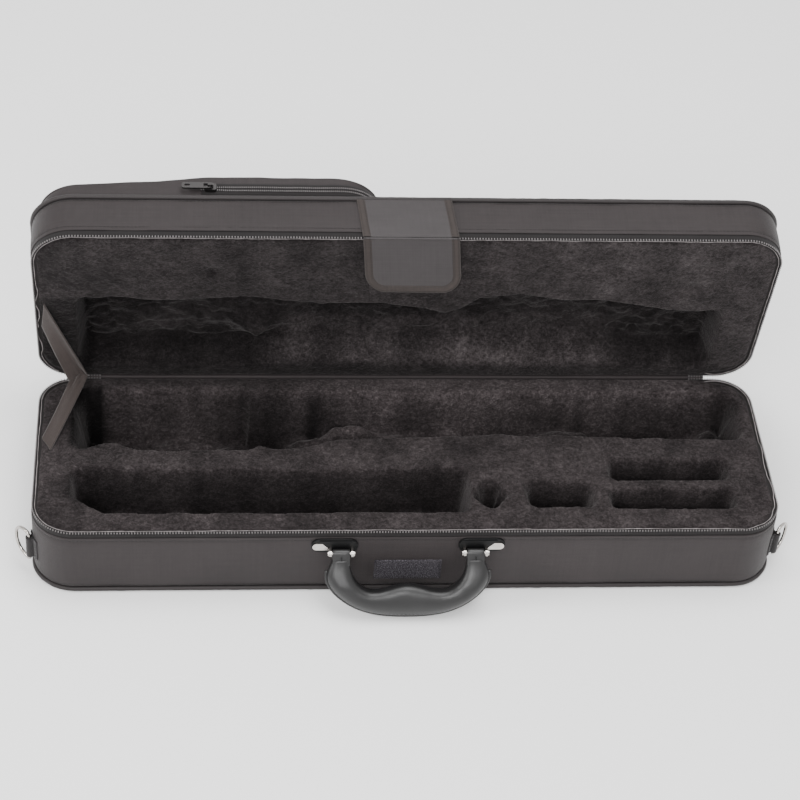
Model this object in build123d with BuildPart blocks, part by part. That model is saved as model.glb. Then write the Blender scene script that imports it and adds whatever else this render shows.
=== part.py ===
from build123d import *
from math import cos, radians, sin
import os

# Driving sizes of the case, in millimetres
case_length = 710.0
case_depth = 212.0
base_height = 79.0
lid_height = 51.0
front_radius = 40.0
rear_radius = 35.0
lid_open_angle = 80.0

# Walls and skins
fit_gap = 0.2
soft_gap = 0.3
cover_thickness = 2.0
shell_thickness = 4.5
tape_thickness = 0.8
tape_depth = 14.0
tape_lap = 8.0
piping_radius = 2.4
piping_proud = 0.6
coil_height = 1.2
coil_width = 1.8
rim_gap = 0.15
lining_edge_width = 1.2
insert_setback = 1.5

# Wells of the base insert and of the lid insert
well_floor = 6.0
well_taper = 6.0
well_overlap = 35.0
bell_well_corner = 20.0
tube_well_corner = 14.0
box_well_corner = 10.0
box_well_rise = 4.0
key_well_corner = 6.0
small_well_corner = 8.0
horn_well_left = -320.0
horn_well_right = 336.0
bell_well_length = 172.0
bell_well_front = 5.0
bell_well_rear = 88.0
tube_well_front = 22.0
tube_well_rear = 80.0
box_well_left = -318.0
box_well_right = 56.0
box_well_front = -79.0
box_well_rear = -23.0
key_well_x = 78.0
key_well_y = -56.0
key_well_size = 26.0
key_well_depth = 30.0
mouthpiece_well_x = 147.0
mouthpiece_well_y = -57.0
mouthpiece_well_length = 66.0
mouthpiece_well_width = 38.0
mouthpiece_well_depth = 42.0
neck_well_x = 257.0
neck_well_length = 116.0
neck_well_rear_y = -22.0
neck_well_front_y = -65.0
neck_well_width = 27.0
neck_well_depth = 38.0
lid_well_left = -316.0
lid_well_right = 309.0
lid_well_front = -17.0
lid_well_rear = 88.0

# Handle and its brackets
handle_x = -3.5
handle_tilt = 28.0
post_spacing = 126.4
pin_drop = 21.0
pin_standoff = 8.0
pin_radius = 1.6
loop_width = 16.3
loop_radius = 4.2
grip_reach = 61.0
grip_inner_reach = 31.5
grip_thickness = 18.0
grip_edge = 4.5
grip_shoulder = 1.8
grip_shoulder_lap = 1.0
grip_flare = 5.0
grip_narrow = 3.0
grip_corner_inset = 4.0
grip_dip_x = 26.0
grip_dip = 5.5
core_width = 10.0
core_thickness = 1.2
core_reach = 46.0
core_bend = 14.0
core_shoulder = 0.62
side_reach = 0.64
corner_reach = 0.76
ear_gap = 1.0
ear_thickness = 2.2
pad_length = 44.0
pad_height = 17.0
pad_thickness = 2.0
pad_outboard = 6.0
pad_drop = 4.5
foot_length = 20.0
ear_radius = 3.6
ear_height = 5.76
foot_margin = 2.0
pin_head = 1.0
bracket_thickness = 1.3

# Closing flap with its hook and loop patches
flap_x = -2.0
flap_width = 90.0
flap_drop = 56.0
flap_lean = 12.5
flap_thickness = 2.0
flap_corner = 19.0
patch_length = 64.0
patch_height = 26.0
patch_thickness = 1.3
patch_mid_height = 28.0
loop_patch_height = 22.0
loop_patch_margin = 4.0

# Carrying rings
ring_wire_radius = 1.6
ring_height = 35.0
ring_reach = 20.0
ring_corner = 4.0
ring_bow = 15.0
ring_swing = 50.0
ring_mid_height = 34.0
tab_height = 25.0
tab_radius = 3.4
tab_corner_angle = 18.0
tab_flange_width = 16.0
tab_flange_thickness = 1.4

# Pocket on the lid
pocket_left = -342.0
pocket_right = -30.0
pocket_front = 6.0
pocket_rear = 186.0
pocket_height = 22.0
pocket_corner = 34.0
pocket_skin = 1.6
pocket_zip_left = -196.0
pocket_zip_right = -66.0
pocket_zip_width = 12.0

# Zip sliders and pulls
slider_length = 11.0
slider_width = 8.0
slider_thickness = 3.6
pull_length = 27.0
pull_width = 7.0
pull_thickness = 1.6
pull_corner = 2.4
pull_arm = 1.6
pull_slot = 5.2
bail_radius = 1.1
bail_clearance = 0.2
bail_wall = 1.5
bridge_depth = 3.0
slider_corner = 2.0
slider_rest = 2.0
park_drop = 3.0
park_gap = 1.0
zip_end_x = 296.0

# Stay strap and hinge strip
strap_width = 20.0
strap_thickness = 1.2
strap_anchor_x = -343.5
strap_anchor_y = 9.0
strap_fold = (-315.0, 78.0, 104.0)
hinge_strip_width = 20.0
hinge_strip_thickness = 0.9

hinge_y = case_depth / 2
hinge_z = base_height
os.makedirs("parts", exist_ok=True)

# The lid's own plane: its origin is on the hinge line, local Y points out of
# the back of the closed case and local Z is the closed case's up.
lid_plane = Plane(
    origin=(0, hinge_y, hinge_z),
    x_dir=(1, 0, 0),
    z_dir=(0, sin(radians(lid_open_angle)), cos(radians(lid_open_angle))),
)
front_wall_y = -case_depth / 2
shell_inset = cover_thickness + fit_gap
lining_inset = shell_inset + shell_thickness
insert_inset = lining_inset + fit_gap


def outline(inset, middle_y=0.0, mode=Mode.ADD):
    """Draw the rounded plan of the case, drawn in by inset, in the open sketch."""
    half_x = case_length / 2 - inset
    half_y = case_depth / 2 - inset
    front = front_radius - inset
    rear = rear_radius - inset
    with BuildLine() as edge:
        FilletPolyline(
            (-half_x, middle_y - half_y),
            (half_x, middle_y - half_y),
            (half_x, middle_y + half_y),
            (-half_x, middle_y + half_y),
            radius=[front, front, rear, rear],
            close=True,
        )
    make_face(edge.edges(), mode=mode)


def band(plane, low, high, outer, inner, middle_y):
    """Add an upright band between two insets, from low to high above a plane."""
    with BuildSketch(plane.offset(low)) as ring:
        outline(outer, middle_y)
        outline(inner, middle_y, Mode.SUBTRACT)
    extrude(ring.sketch, amount=high - low)


def clear_rear(plane, middle_y, low, high):
    """Cut a zip away between its two ends along the hinge line."""
    with BuildSketch(plane.offset(low)) as gap:
        with Locations((0, middle_y + case_depth / 2)):
            Rectangle(2 * zip_end_x, rear_radius)
    extrude(gap.sketch, amount=high - low, mode=Mode.SUBTRACT)


def finish(builder, name):
    """Label a finished piece and write it."""
    builder.part.label = name
    export_step(builder.part, f"parts/{name}.step")


# The two halves are built alike: each is a list of heights above its own
# lowest plane, with the rim at the top of the base and at the bottom of the lid.
piping_centre = piping_radius + fit_gap
wall_start = piping_centre + piping_radius + fit_gap
tape_inset = cover_thickness - tape_thickness

# Base: rigid shell of thin board under the fabric
with BuildPart() as base_shell:
    with BuildSketch(Plane.XY.offset(shell_inset)):
        outline(shell_inset)
    extrude(amount=base_height - insert_setback - coil_height - shell_inset)
    with BuildSketch(Plane.XY.offset(lining_inset)):
        outline(lining_inset)
    extrude(amount=base_height, mode=Mode.SUBTRACT)
finish(base_shell, "base_shell")

with BuildPart() as base_bottom_cover:
    with BuildSketch(Plane.XY):
        outline(cover_thickness)
    extrude(amount=cover_thickness)
finish(base_bottom_cover, "base_bottom_cover")

tape_top = base_height - rim_gap - coil_height - fit_gap
with BuildPart() as base_side_cover:
    band(Plane.XY, wall_start, base_height - tape_lap, 0, cover_thickness, 0)
    with BuildSketch(Plane.XY.offset(base_height - tape_depth - fit_gap)):
        outline(tape_inset - fit_gap)
    extrude(amount=tape_depth, mode=Mode.SUBTRACT)
finish(base_side_cover, "base_side_cover")

with BuildPart() as base_piping:
    with BuildLine(Plane.XY.offset(piping_centre)) as base_piping_path:
        half_x = case_length / 2 + piping_proud
        half_y = case_depth / 2 + piping_proud
        FilletPolyline(
            (-half_x, -half_y),
            (half_x, -half_y),
            (half_x, half_y),
            (-half_x, half_y),
            radius=[front_radius, front_radius, rear_radius, rear_radius],
            close=True,
        )
    with BuildSketch(Plane(origin=(0, -half_y, piping_centre), z_dir=(1, 0, 0))):
        Circle(piping_radius)
    sweep(path=base_piping_path.wires()[0])
finish(base_piping, "base_piping")

with BuildPart() as base_zip_tape:
    band(Plane.XY, base_height - tape_depth, tape_top, tape_inset, cover_thickness, 0)
    clear_rear(Plane.XY, 0, 0, base_height)
finish(base_zip_tape, "base_zip_tape")

coil_outer = cover_thickness + fit_gap - coil_width
with BuildPart() as base_zip_coil:
    band(Plane.XY, tape_top + fit_gap, base_height - rim_gap, coil_outer, coil_outer + coil_width, 0)
    clear_rear(Plane.XY, 0, 0, base_height)
finish(base_zip_coil, "base_zip_coil")

shell_top = base_height - insert_setback - coil_height
with BuildPart() as base_lining_edge:
    band(
        Plane.XY,
        shell_top + fit_gap,
        base_height - insert_setback,
        shell_inset + 2 * fit_gap,
        shell_inset + 2 * fit_gap + lining_edge_width,
        0,
    )
finish(base_lining_edge, "base_lining_edge")


# Wells are drawn on the insert's face and drawn in towards their floors
def well(plane, left, right, low, high, depth, corner):
    """Cut one tapered well from a face plane, whose local Z points out of it."""
    with BuildSketch(plane) as mouth:
        with Locations(((left + right) / 2, (low + high) / 2)):
            RectangleRounded(right - left, high - low, corner)
    extrude(mouth.sketch, amount=-depth, taper=well_taper, mode=Mode.SUBTRACT)


insert_top = base_height - insert_setback
insert_floor = lining_inset + fit_gap
horn_depth = insert_top - insert_floor - well_floor
with BuildPart() as base_insert:
    with BuildSketch(Plane.XY.offset(insert_floor)):
        outline(insert_inset)
    extrude(amount=insert_top - insert_floor)
    face = Plane.XY.offset(insert_top)
    bell_right = horn_well_left + bell_well_length
    well(face, horn_well_left, bell_right, bell_well_front, bell_well_rear, horn_depth, bell_well_corner)
    well(
        face,
        bell_right - well_overlap,
        horn_well_right,
        tube_well_front,
        tube_well_rear,
        horn_depth - well_floor,
        tube_well_corner,
    )
    well(
        face,
        box_well_left,
        box_well_right,
        box_well_front,
        box_well_rear,
        horn_depth - box_well_rise,
        box_well_corner,
    )
    key_half = key_well_size / 2
    well(
        face,
        key_well_x - key_half,
        key_well_x + key_half,
        key_well_y - key_half,
        key_well_y + key_half,
        key_well_depth,
        key_well_corner,
    )
    well(
        face,
        mouthpiece_well_x - mouthpiece_well_length / 2,
        mouthpiece_well_x + mouthpiece_well_length / 2,
        mouthpiece_well_y - mouthpiece_well_width / 2,
        mouthpiece_well_y + mouthpiece_well_width / 2,
        mouthpiece_well_depth,
        small_well_corner,
    )
    for neck_y in (neck_well_front_y, neck_well_rear_y):
        well(
            face,
            neck_well_x - neck_well_length / 2,
            neck_well_x + neck_well_length / 2,
            neck_y - neck_well_width / 2,
            neck_y + neck_well_width / 2,
            neck_well_depth,
            small_well_corner,
        )
finish(base_insert, "base_insert")

# Lid: the same layers, upside down, on the lid's own plane
mid = -case_depth / 2
lid_shell_low = insert_setback + coil_height
with BuildPart() as lid_shell:
    with BuildSketch(lid_plane.offset(lid_shell_low)):
        outline(shell_inset, mid)
    extrude(amount=lid_height - shell_inset - lid_shell_low)
    with BuildSketch(lid_plane.offset(lid_shell_low)):
        outline(lining_inset, mid)
    extrude(amount=lid_height - lining_inset - lid_shell_low, mode=Mode.SUBTRACT)
finish(lid_shell, "lid_shell")

with BuildPart() as lid_top_cover:
    with BuildSketch(lid_plane.offset(lid_height - cover_thickness)):
        outline(cover_thickness, mid)
    extrude(amount=cover_thickness)
finish(lid_top_cover, "lid_top_cover")

with BuildPart() as lid_side_cover:
    band(lid_plane, tape_lap, lid_height - wall_start, 0, cover_thickness, mid)
    with BuildSketch(lid_plane):
        outline(tape_inset - fit_gap, mid)
    extrude(amount=tape_depth + fit_gap, mode=Mode.SUBTRACT)
finish(lid_side_cover, "lid_side_cover")

with BuildPart() as lid_piping:
    piping_plane = lid_plane.offset(lid_height - piping_centre)
    with BuildLine(piping_plane) as lid_piping_path:
        FilletPolyline(
            (-half_x, mid - half_y),
            (half_x, mid - half_y),
            (half_x, mid + half_y),
            (-half_x, mid + half_y),
            radius=[front_radius, front_radius, rear_radius, rear_radius],
            close=True,
        )
    start = piping_plane.from_local_coords((0, mid - half_y, 0))
    with BuildSketch(Plane(origin=start, z_dir=(1, 0, 0))):
        Circle(piping_radius)
    sweep(path=lid_piping_path.wires()[0])
finish(lid_piping, "lid_piping")

tape_low = rim_gap + coil_height + fit_gap
with BuildPart() as lid_zip_tape:
    band(lid_plane, tape_low, tape_depth, tape_inset, cover_thickness, mid)
    clear_rear(lid_plane, mid, 0, lid_height)
finish(lid_zip_tape, "lid_zip_tape")

with BuildPart() as lid_zip_coil:
    band(lid_plane, rim_gap, rim_gap + coil_height, coil_outer, coil_outer + coil_width, mid)
    clear_rear(lid_plane, mid, 0, lid_height)
finish(lid_zip_coil, "lid_zip_coil")

with BuildPart() as lid_lining_edge:
    band(
        lid_plane,
        insert_setback,
        lid_shell_low - fit_gap,
        shell_inset + 2 * fit_gap,
        shell_inset + 2 * fit_gap + lining_edge_width,
        mid,
    )
finish(lid_lining_edge, "lid_lining_edge")

lid_insert_top = lid_height - lining_inset - fit_gap
with BuildPart() as lid_insert:
    with BuildSketch(lid_plane.offset(insert_setback)):
        outline(insert_inset, mid)
    extrude(amount=lid_insert_top - insert_setback)
    with BuildSketch(lid_plane.offset(insert_setback)):
        with Locations(((lid_well_left + lid_well_right) / 2, mid + (lid_well_front + lid_well_rear) / 2)):
            RectangleRounded(lid_well_right - lid_well_left, lid_well_rear - lid_well_front, 14)
    extrude(
        amount=lid_insert_top - insert_setback - well_floor,
        taper=well_taper,
        mode=Mode.SUBTRACT,
    )
finish(lid_insert, "lid_insert")

# Fabric strip over the hinge line, folded up while the lid stands open
strip_y = hinge_strip_thickness / 2 + fit_gap
open_sin = sin(radians(lid_open_angle))
open_cos = cos(radians(lid_open_angle))
with BuildPart() as hinge_strip:
    with BuildSketch(Plane.YZ.offset(fit_gap - zip_end_x)):
        with BuildLine() as strip_line:
            Polyline(
                (hinge_y + strip_y, hinge_z - hinge_strip_width),
                (hinge_y + strip_y, hinge_z - strip_y),
                (
                    hinge_y + strip_y * open_cos + hinge_strip_width * open_sin,
                    hinge_z - strip_y * open_sin + hinge_strip_width * open_cos,
                ),
            )
            offset(amount=hinge_strip_thickness / 2, side=Side.BOTH)
        make_face()
    extrude(amount=2 * (zip_end_x - fit_gap))
finish(hinge_strip, "hinge_strip")

# Stay strap: slack webbing from the base's left end to the lid's
fold = Vector(*strap_fold)
low_anchor = Vector(strap_anchor_x, strap_anchor_y, insert_top + soft_gap)
high_anchor = lid_plane.from_local_coords(
    Vector(strap_anchor_x, strap_anchor_y + mid, insert_setback - soft_gap)
)
rise = high_anchor - low_anchor
with BuildPart() as stay_strap:
    with BuildSketch(Plane(origin=low_anchor, x_dir=(0, 1, 0), z_dir=(0, 0, 1))):
        Rectangle(strap_width, strap_thickness)
    with BuildSketch(Plane(origin=fold, x_dir=(1, 0, 0), z_dir=rise)):
        Rectangle(strap_width, strap_thickness)
    with BuildSketch(Plane(origin=high_anchor, x_dir=lid_plane.y_dir * -1, z_dir=lid_plane.z_dir * -1)):
        Rectangle(strap_width, strap_thickness)
    loft(ruled=True)
finish(stay_strap, "stay_strap")

# Hook patch on the base's front wall
with BuildPart() as hook_patch:
    with BuildSketch(Plane.XZ.offset(case_depth / 2 + fit_gap)):
        with Locations((flap_x, patch_mid_height)):
            Rectangle(patch_length, patch_height)
    extrude(amount=patch_thickness)
finish(hook_patch, "hook_patch")

# Handle brackets: a moulded pad, a bent plate with two ears, a pin and a rivet
pin_y = front_wall_y - pin_standoff
pin_height = base_height - pin_drop
ear_offset = loop_width / 2 + ear_gap
pad_middle_z = pin_height + pad_height / 2 - pad_drop
for side_name, side in (("left", -1), ("right", 1)):
    post_x = handle_x + side * post_spacing / 2
    pad_x = post_x + side * pad_outboard
    with BuildPart() as bracket_pad:
        with BuildSketch(Plane.XZ.offset(case_depth / 2 + fit_gap)):
            with Locations((pad_x, pad_middle_z)):
                SlotOverall(pad_length, pad_height)
        extrude(amount=pad_thickness)
        fillet(bracket_pad.faces().sort_by(Axis.Y)[0].edges(), pad_thickness / 4)
    finish(bracket_pad, f"bracket_pad_{side_name}")

    plate_start = case_depth / 2 + fit_gap + pad_thickness + fit_gap / 4
    with BuildPart() as bracket:
        with BuildSketch(Plane.XZ.offset(plate_start)):
            with Locations((post_x, pin_height)):
                Rectangle(2 * (ear_offset + ear_thickness), pad_height / 2)
            with Locations((pad_x + side * (pad_length - foot_length - foot_margin) / 2, pad_middle_z)):
                SlotOverall(foot_length, pad_height / 2)
        extrude(amount=bracket_thickness)
        for ear_side in (-1, 1):
            ear_x = post_x + ear_side * (ear_offset + ear_thickness / 2)
            with BuildSketch(Plane.YZ.offset(ear_x - ear_thickness / 2)):
                with Locations((pin_y, pin_height)):
                    Circle(ear_radius)
                with Locations(((pin_y - plate_start) / 2, pin_height)):
                    Rectangle(abs(pin_y + plate_start), ear_height)
            extrude(amount=ear_thickness)
            with BuildSketch(Plane.YZ.offset(ear_x - ear_thickness / 2)):
                with Locations((pin_y, pin_height)):
                    Circle(pin_radius + fit_gap / 4)
            extrude(amount=ear_thickness, mode=Mode.SUBTRACT)
    finish(bracket, f"bracket_{side_name}")

    with BuildPart() as handle_pin:
        pin_half = ear_offset + ear_thickness + fit_gap
        with BuildSketch(Plane.YZ.offset(post_x - pin_half)):
            with Locations((pin_y, pin_height)):
                Circle(pin_radius)
        extrude(amount=2 * pin_half)
        for head_x in (post_x - pin_half - ear_thickness / 2, post_x + pin_half):
            with BuildSketch(Plane.YZ.offset(head_x)):
                with Locations((pin_y, pin_height)):
                    Circle(pin_radius + pin_head)
            extrude(amount=ear_thickness / 2)
    finish(handle_pin, f"handle_pin_{side_name}")

# Handle: padded grip round a spring-steel core whose eyes turn on the pins
tilt_sin = sin(radians(handle_tilt))
tilt_cos = cos(radians(handle_tilt))
handle_plane = Plane(
    origin=(handle_x, pin_y, pin_height),
    x_dir=(1, 0, 0),
    z_dir=(0, -tilt_cos, tilt_sin),
)
half_post = post_spacing / 2
loop_outer = half_post + loop_width / 2
loop_inner = half_post - loop_width / 2
shoulder = loop_radius + grip_shoulder
core_start = pin_radius + core_thickness / 2


def core_run(clearance):
    """Sweep the core strip's section along the arch of the handle."""
    with BuildLine(handle_plane) as arch:
        FilletPolyline(
            (-half_post, -core_start),
            (-half_post, -core_reach * core_shoulder),
            (-half_post * core_shoulder, -core_reach),
            (half_post * core_shoulder, -core_reach),
            (half_post, -core_reach * core_shoulder),
            (half_post, -core_start),
            radius=core_bend,
        )
    arch_start = handle_plane.from_local_coords((-half_post, -core_start, 0))
    section_plane = Plane(origin=arch_start, x_dir=(1, 0, 0), z_dir=handle_plane.y_dir * -1)
    with BuildSketch(section_plane) as section:
        Rectangle(core_thickness + 2 * clearance, core_width + 2 * clearance)
    sweep(section.sketch, path=arch.wires()[0])


with BuildPart() as core_space:
    core_run(soft_gap)

with BuildPart() as handle_grip:
    with BuildSketch(handle_plane.offset(-grip_thickness / 2)):
        with BuildLine():
            outer = Spline(
                (-loop_outer, -shoulder),
                (-loop_outer - grip_flare, -grip_inner_reach * side_reach),
                (-half_post + grip_corner_inset, -grip_reach * corner_reach),
                (0, -grip_reach),
                (half_post - grip_corner_inset, -grip_reach * corner_reach),
                (loop_outer + grip_flare, -grip_inner_reach * side_reach),
                (loop_outer, -shoulder),
            )
            inner = Spline(
                (-loop_inner, -shoulder),
                (-loop_inner + grip_narrow, -grip_inner_reach * side_reach),
                (-half_post + grip_dip_x, -grip_inner_reach - grip_dip),
                (0, -grip_inner_reach),
                (half_post - grip_dip_x, -grip_inner_reach - grip_dip),
                (loop_inner - grip_narrow, -grip_inner_reach * side_reach),
                (loop_inner, -shoulder),
            )
            Line(outer @ 0, inner @ 0)
            Line(outer @ 1, inner @ 1)
        make_face()
    extrude(amount=grip_thickness)
    long_edges = handle_grip.edges().filter_by(GeomType.BSPLINE)
    fillet(long_edges, grip_edge)
    for post in (-half_post, half_post):
        with BuildSketch(Plane.YZ.offset(handle_x + post - loop_width / 2)):
            with Locations((pin_y, pin_height)):
                Circle(loop_radius)
        extrude(amount=loop_width)
        with BuildSketch(handle_plane.offset(-loop_radius)):
            with Locations((post, -(shoulder + grip_shoulder_lap) / 2)):
                Rectangle(loop_width, shoulder + grip_shoulder_lap)
        extrude(amount=2 * loop_radius)
        with BuildSketch(Plane.YZ.offset(handle_x + post - loop_width / 2)):
            with Locations((pin_y, pin_height)):
                Circle(pin_radius + core_thickness + 2 * fit_gap)
        extrude(amount=loop_width, mode=Mode.SUBTRACT)
    add(core_space.part, mode=Mode.SUBTRACT)
finish(handle_grip, "handle_grip")

with BuildPart() as handle_core:
    core_run(0)
    for post in (-half_post, half_post):
        with BuildSketch(Plane.YZ.offset(handle_x + post - core_width / 2)):
            with Locations((pin_y, pin_height)):
                Circle(pin_radius + core_thickness + fit_gap / 4)
        extrude(amount=core_width)
        with BuildSketch(Plane.YZ.offset(handle_x + post - core_width / 2)):
            with Locations((pin_y, pin_height)):
                Circle(pin_radius + fit_gap / 4)
        extrude(amount=core_width, mode=Mode.SUBTRACT)
finish(handle_core, "handle_core")

# Carrying rings and the sewn tabs that hold them near the front corners
ring_offset = front_radius + tab_flange_thickness + tab_radius
for side_name, side in (("left", -1), ("right", 1)):
    corner = Vector(side * (case_length / 2 - front_radius), front_wall_y + front_radius)
    outward = Vector(side * cos(radians(tab_corner_angle)), -sin(radians(tab_corner_angle)))
    bar = corner + outward * ring_offset
    with BuildPart() as ring_tab:
        with BuildSketch(Plane.XY.offset(ring_mid_height - tab_height / 2)):
            with Locations((corner.X, corner.Y)):
                Circle(front_radius + fit_gap + tab_flange_thickness)
                Circle(front_radius + fit_gap, mode=Mode.SUBTRACT)
            middle = corner + outward * front_radius
            with Locations(Location((middle.X, middle.Y), -side * tab_corner_angle)):
                Rectangle(tab_radius * 4, tab_flange_width, mode=Mode.INTERSECT)
            with Locations((bar.X, bar.Y)):
                Circle(tab_radius)
        extrude(amount=tab_height)
        with BuildSketch(Plane.XY.offset(ring_mid_height - tab_height / 2)):
            with Locations((bar.X, bar.Y)):
                Circle(ring_wire_radius + fit_gap / 2)
        extrude(amount=tab_height, mode=Mode.SUBTRACT)
    finish(ring_tab, f"ring_tab_{side_name}")

    swung = Vector(side * cos(radians(ring_swing)), sin(radians(ring_swing)))
    ring_plane = Plane(
        origin=(bar.X, bar.Y, ring_mid_height),
        x_dir=swung,
        z_dir=swung.cross(Vector(0, 0, 1)),
    )
    with BuildPart() as carry_ring:
        with BuildLine(ring_plane) as ring_line:
            FilletPolyline(
                (0, -ring_height / 2),
                (ring_reach, -ring_height / 2),
                (ring_reach, ring_height / 2),
                (0, ring_height / 2),
                radius=[ring_corner, ring_bow, ring_bow, ring_corner],
                close=True,
            )
        with BuildSketch(Plane(origin=(bar.X, bar.Y, ring_mid_height), z_dir=(0, 0, 1))):
            Circle(ring_wire_radius)
        sweep(path=ring_line.wires()[0])
    finish(carry_ring, f"carry_ring_{side_name}")

# Flap: the upper part is sewn to the lid's front wall, the lower part hangs
flap_face = -case_depth - soft_gap
bend_drop = flap_thickness / 2 + fit_gap
flap_pivot = lid_plane.from_local_coords((0, flap_face - flap_thickness / 2, -bend_drop))
flap_top = lid_height - wall_start - fit_gap
half_flap = flap_width / 2
with BuildPart() as flap_upper:
    with BuildSketch(lid_plane.offset(fit_gap)):
        with Locations((flap_x, flap_face - flap_thickness / 2)):
            Rectangle(flap_width, flap_thickness)
    extrude(amount=flap_top - fit_gap)
finish(flap_upper, "flap_upper")

# Its hanging part is drawn on a plane through the bend line that leans out from plumb
flap_plane = Plane(
    origin=(flap_x, flap_pivot.Y, flap_pivot.Z),
    x_dir=(1, 0, 0),
    z_dir=(0, -cos(radians(flap_lean)), sin(radians(flap_lean))),
)
with BuildPart() as flap_lower:
    with BuildSketch(flap_plane.offset(-flap_thickness / 2)):
        with BuildLine():
            FilletPolyline(
                (-half_flap, -soft_gap),
                (-half_flap, -flap_drop),
                (half_flap, -flap_drop),
                (half_flap, -soft_gap),
                radius=flap_corner,
            )
            Line((half_flap, -soft_gap), (-half_flap, -soft_gap))
        make_face()
    extrude(amount=flap_thickness)
finish(flap_lower, "flap_lower")

patch_from_bend = flap_drop - loop_patch_margin - loop_patch_height / 2
with BuildPart() as loop_patch:
    with BuildSketch(flap_plane.offset(-flap_thickness / 2 - fit_gap / 2)):
        with Locations((0, -patch_from_bend)):
            Rectangle(patch_length, loop_patch_height)
    extrude(amount=-patch_thickness)
finish(loop_patch, "loop_patch")

# Pocket on the lid's outside
pocket_low = lid_height + fit_gap
pocket_mid_x = (pocket_left + pocket_right) / 2
pocket_mid_y = -case_depth + (pocket_front + pocket_rear) / 2
pocket_length = pocket_right - pocket_left
pocket_depth = pocket_rear - pocket_front
with BuildPart() as pocket_gusset:
    with BuildSketch(lid_plane.offset(pocket_low)):
        with Locations((pocket_mid_x, pocket_mid_y)):
            RectangleRounded(pocket_length, pocket_depth, pocket_corner)
            RectangleRounded(
                pocket_length - 2 * pocket_skin,
                pocket_depth - 2 * pocket_skin,
                pocket_corner - pocket_skin,
                mode=Mode.SUBTRACT,
            )
    extrude(amount=pocket_height - pocket_skin - fit_gap)
finish(pocket_gusset, "pocket_gusset")

with BuildPart() as pocket_panel:
    with BuildSketch(lid_plane.offset(pocket_low + pocket_height - pocket_skin)):
        with Locations((pocket_mid_x, pocket_mid_y)):
            RectangleRounded(pocket_length, pocket_depth, pocket_corner)
    extrude(amount=pocket_skin)
    lid_up = Axis(lid_plane.origin, lid_plane.z_dir)
    fillet(pocket_panel.faces().sort_by(lid_up)[-1].edges(), pocket_skin / 2)
finish(pocket_panel, "pocket_panel")

# Pocket zip, on a plane that lies on the gusset's front with Z out of it
zip_level = pocket_low + pocket_height / 2
zip_mid_x = (pocket_zip_left + pocket_zip_right) / 2
zip_length = pocket_zip_right - pocket_zip_left
gusset_plane = Plane(
    origin=lid_plane.from_local_coords((0, -case_depth + pocket_front, zip_level)),
    x_dir=(1, 0, 0),
    z_dir=lid_plane.y_dir * -1,
)
with BuildPart() as pocket_zip_tape:
    with BuildSketch(gusset_plane.offset(fit_gap)):
        with Locations((zip_mid_x, 0)):
            Rectangle(zip_length, pocket_zip_width)
    extrude(amount=tape_thickness)
finish(pocket_zip_tape, "pocket_zip_tape")

coil_base = fit_gap + tape_thickness + fit_gap
with BuildPart() as pocket_zip_coil:
    with BuildSketch(gusset_plane.offset(coil_base)):
        with GridLocations(0, 2 * coil_width + fit_gap, 1, 2):
            with Locations((zip_mid_x, 0)):
                Rectangle(zip_length, coil_width)
    extrude(amount=coil_height)
finish(pocket_zip_coil, "pocket_zip_coil")


# A slider is a body with a bail across it, and a pull that hangs on the bail
def across(plane):
    """Turn a plane so that its Z runs across the zip and its Y points down into it."""
    return Plane(origin=plane.origin, x_dir=plane.x_dir, z_dir=plane.y_dir)


def slider(plane, x):
    """Build a zip slider whose length runs along the plane's X."""
    with BuildSketch(plane) as body:
        with Locations((x, 0)):
            RectangleRounded(slider_length, slider_width, slider_corner)
    extrude(body.sketch, amount=slider_thickness)
    with BuildSketch(plane.offset(slider_thickness)) as bridge:
        with Locations((x, 0)):
            Rectangle(2 * (bail_radius + bail_wall), bridge_depth)
    extrude(bridge.sketch, amount=2 * bail_radius + bail_wall + bail_clearance)
    with BuildSketch(across(plane).offset(-slider_width)) as eye:
        with Locations((x, -slider_thickness - bail_radius - bail_clearance)):
            Circle(bail_radius + bail_clearance)
    extrude(eye.sketch, amount=2 * slider_width, mode=Mode.SUBTRACT)


def pull(plane, x, way):
    """Build a pull: a pin through the bail and a plate that runs along X."""
    level = slider_thickness + bail_radius + bail_clearance
    with BuildSketch(across(plane).offset(-pull_width / 2)) as pin:
        with Locations((x, -level)):
            Circle(bail_radius)
    extrude(pin.sketch, amount=pull_width)
    arm = slider_length / 2 + park_gap
    with BuildSketch(plane.offset(level - pull_thickness / 2)) as plate:
        for arm_side in (-1, 1):
            with Locations((x + way * (arm + pull_corner) / 2, arm_side * (pull_width - pull_arm) / 2)):
                Rectangle(arm + pull_corner, pull_arm)
        with Locations((x + way * (arm + pull_length) / 2, 0)):
            RectangleRounded(pull_length - arm, pull_width, pull_corner)
        with Locations((x + way * (pull_length - pull_slot), 0)):
            SlotOverall(pull_slot, pull_slot / 2, mode=Mode.SUBTRACT)
    extrude(plate.sketch, amount=pull_thickness)


pocket_slider_plane = gusset_plane.offset(coil_base + coil_height + soft_gap)
pocket_slider_x = pocket_zip_left + slider_length / 2 + slider_rest
with BuildPart() as pocket_slider:
    slider(pocket_slider_plane, pocket_slider_x)
finish(pocket_slider, "pocket_slider")

with BuildPart() as pocket_pull:
    pull(pocket_slider_plane, pocket_slider_x, -1)
finish(pocket_pull, "pocket_pull")

# Main sliders, parked behind the rear corners at the ends of the zip
for side_name, side in (("left", -1), ("right", 1)):
    park_x = side * (zip_end_x + slider_width / 2 + park_gap)
    park_z = base_height - slider_length / 2 - park_drop
    park_plane = Plane(
        origin=(park_x, hinge_y + soft_gap, park_z),
        x_dir=(0, 0, -1),
        z_dir=(0, 1, 0),
    )
    with BuildPart() as main_slider:
        slider(park_plane, 0)
    finish(main_slider, f"main_slider_{side_name}")

    with BuildPart() as main_pull:
        pull(park_plane, 0, 1)
    finish(main_pull, f"main_pull_{side_name}")
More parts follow.
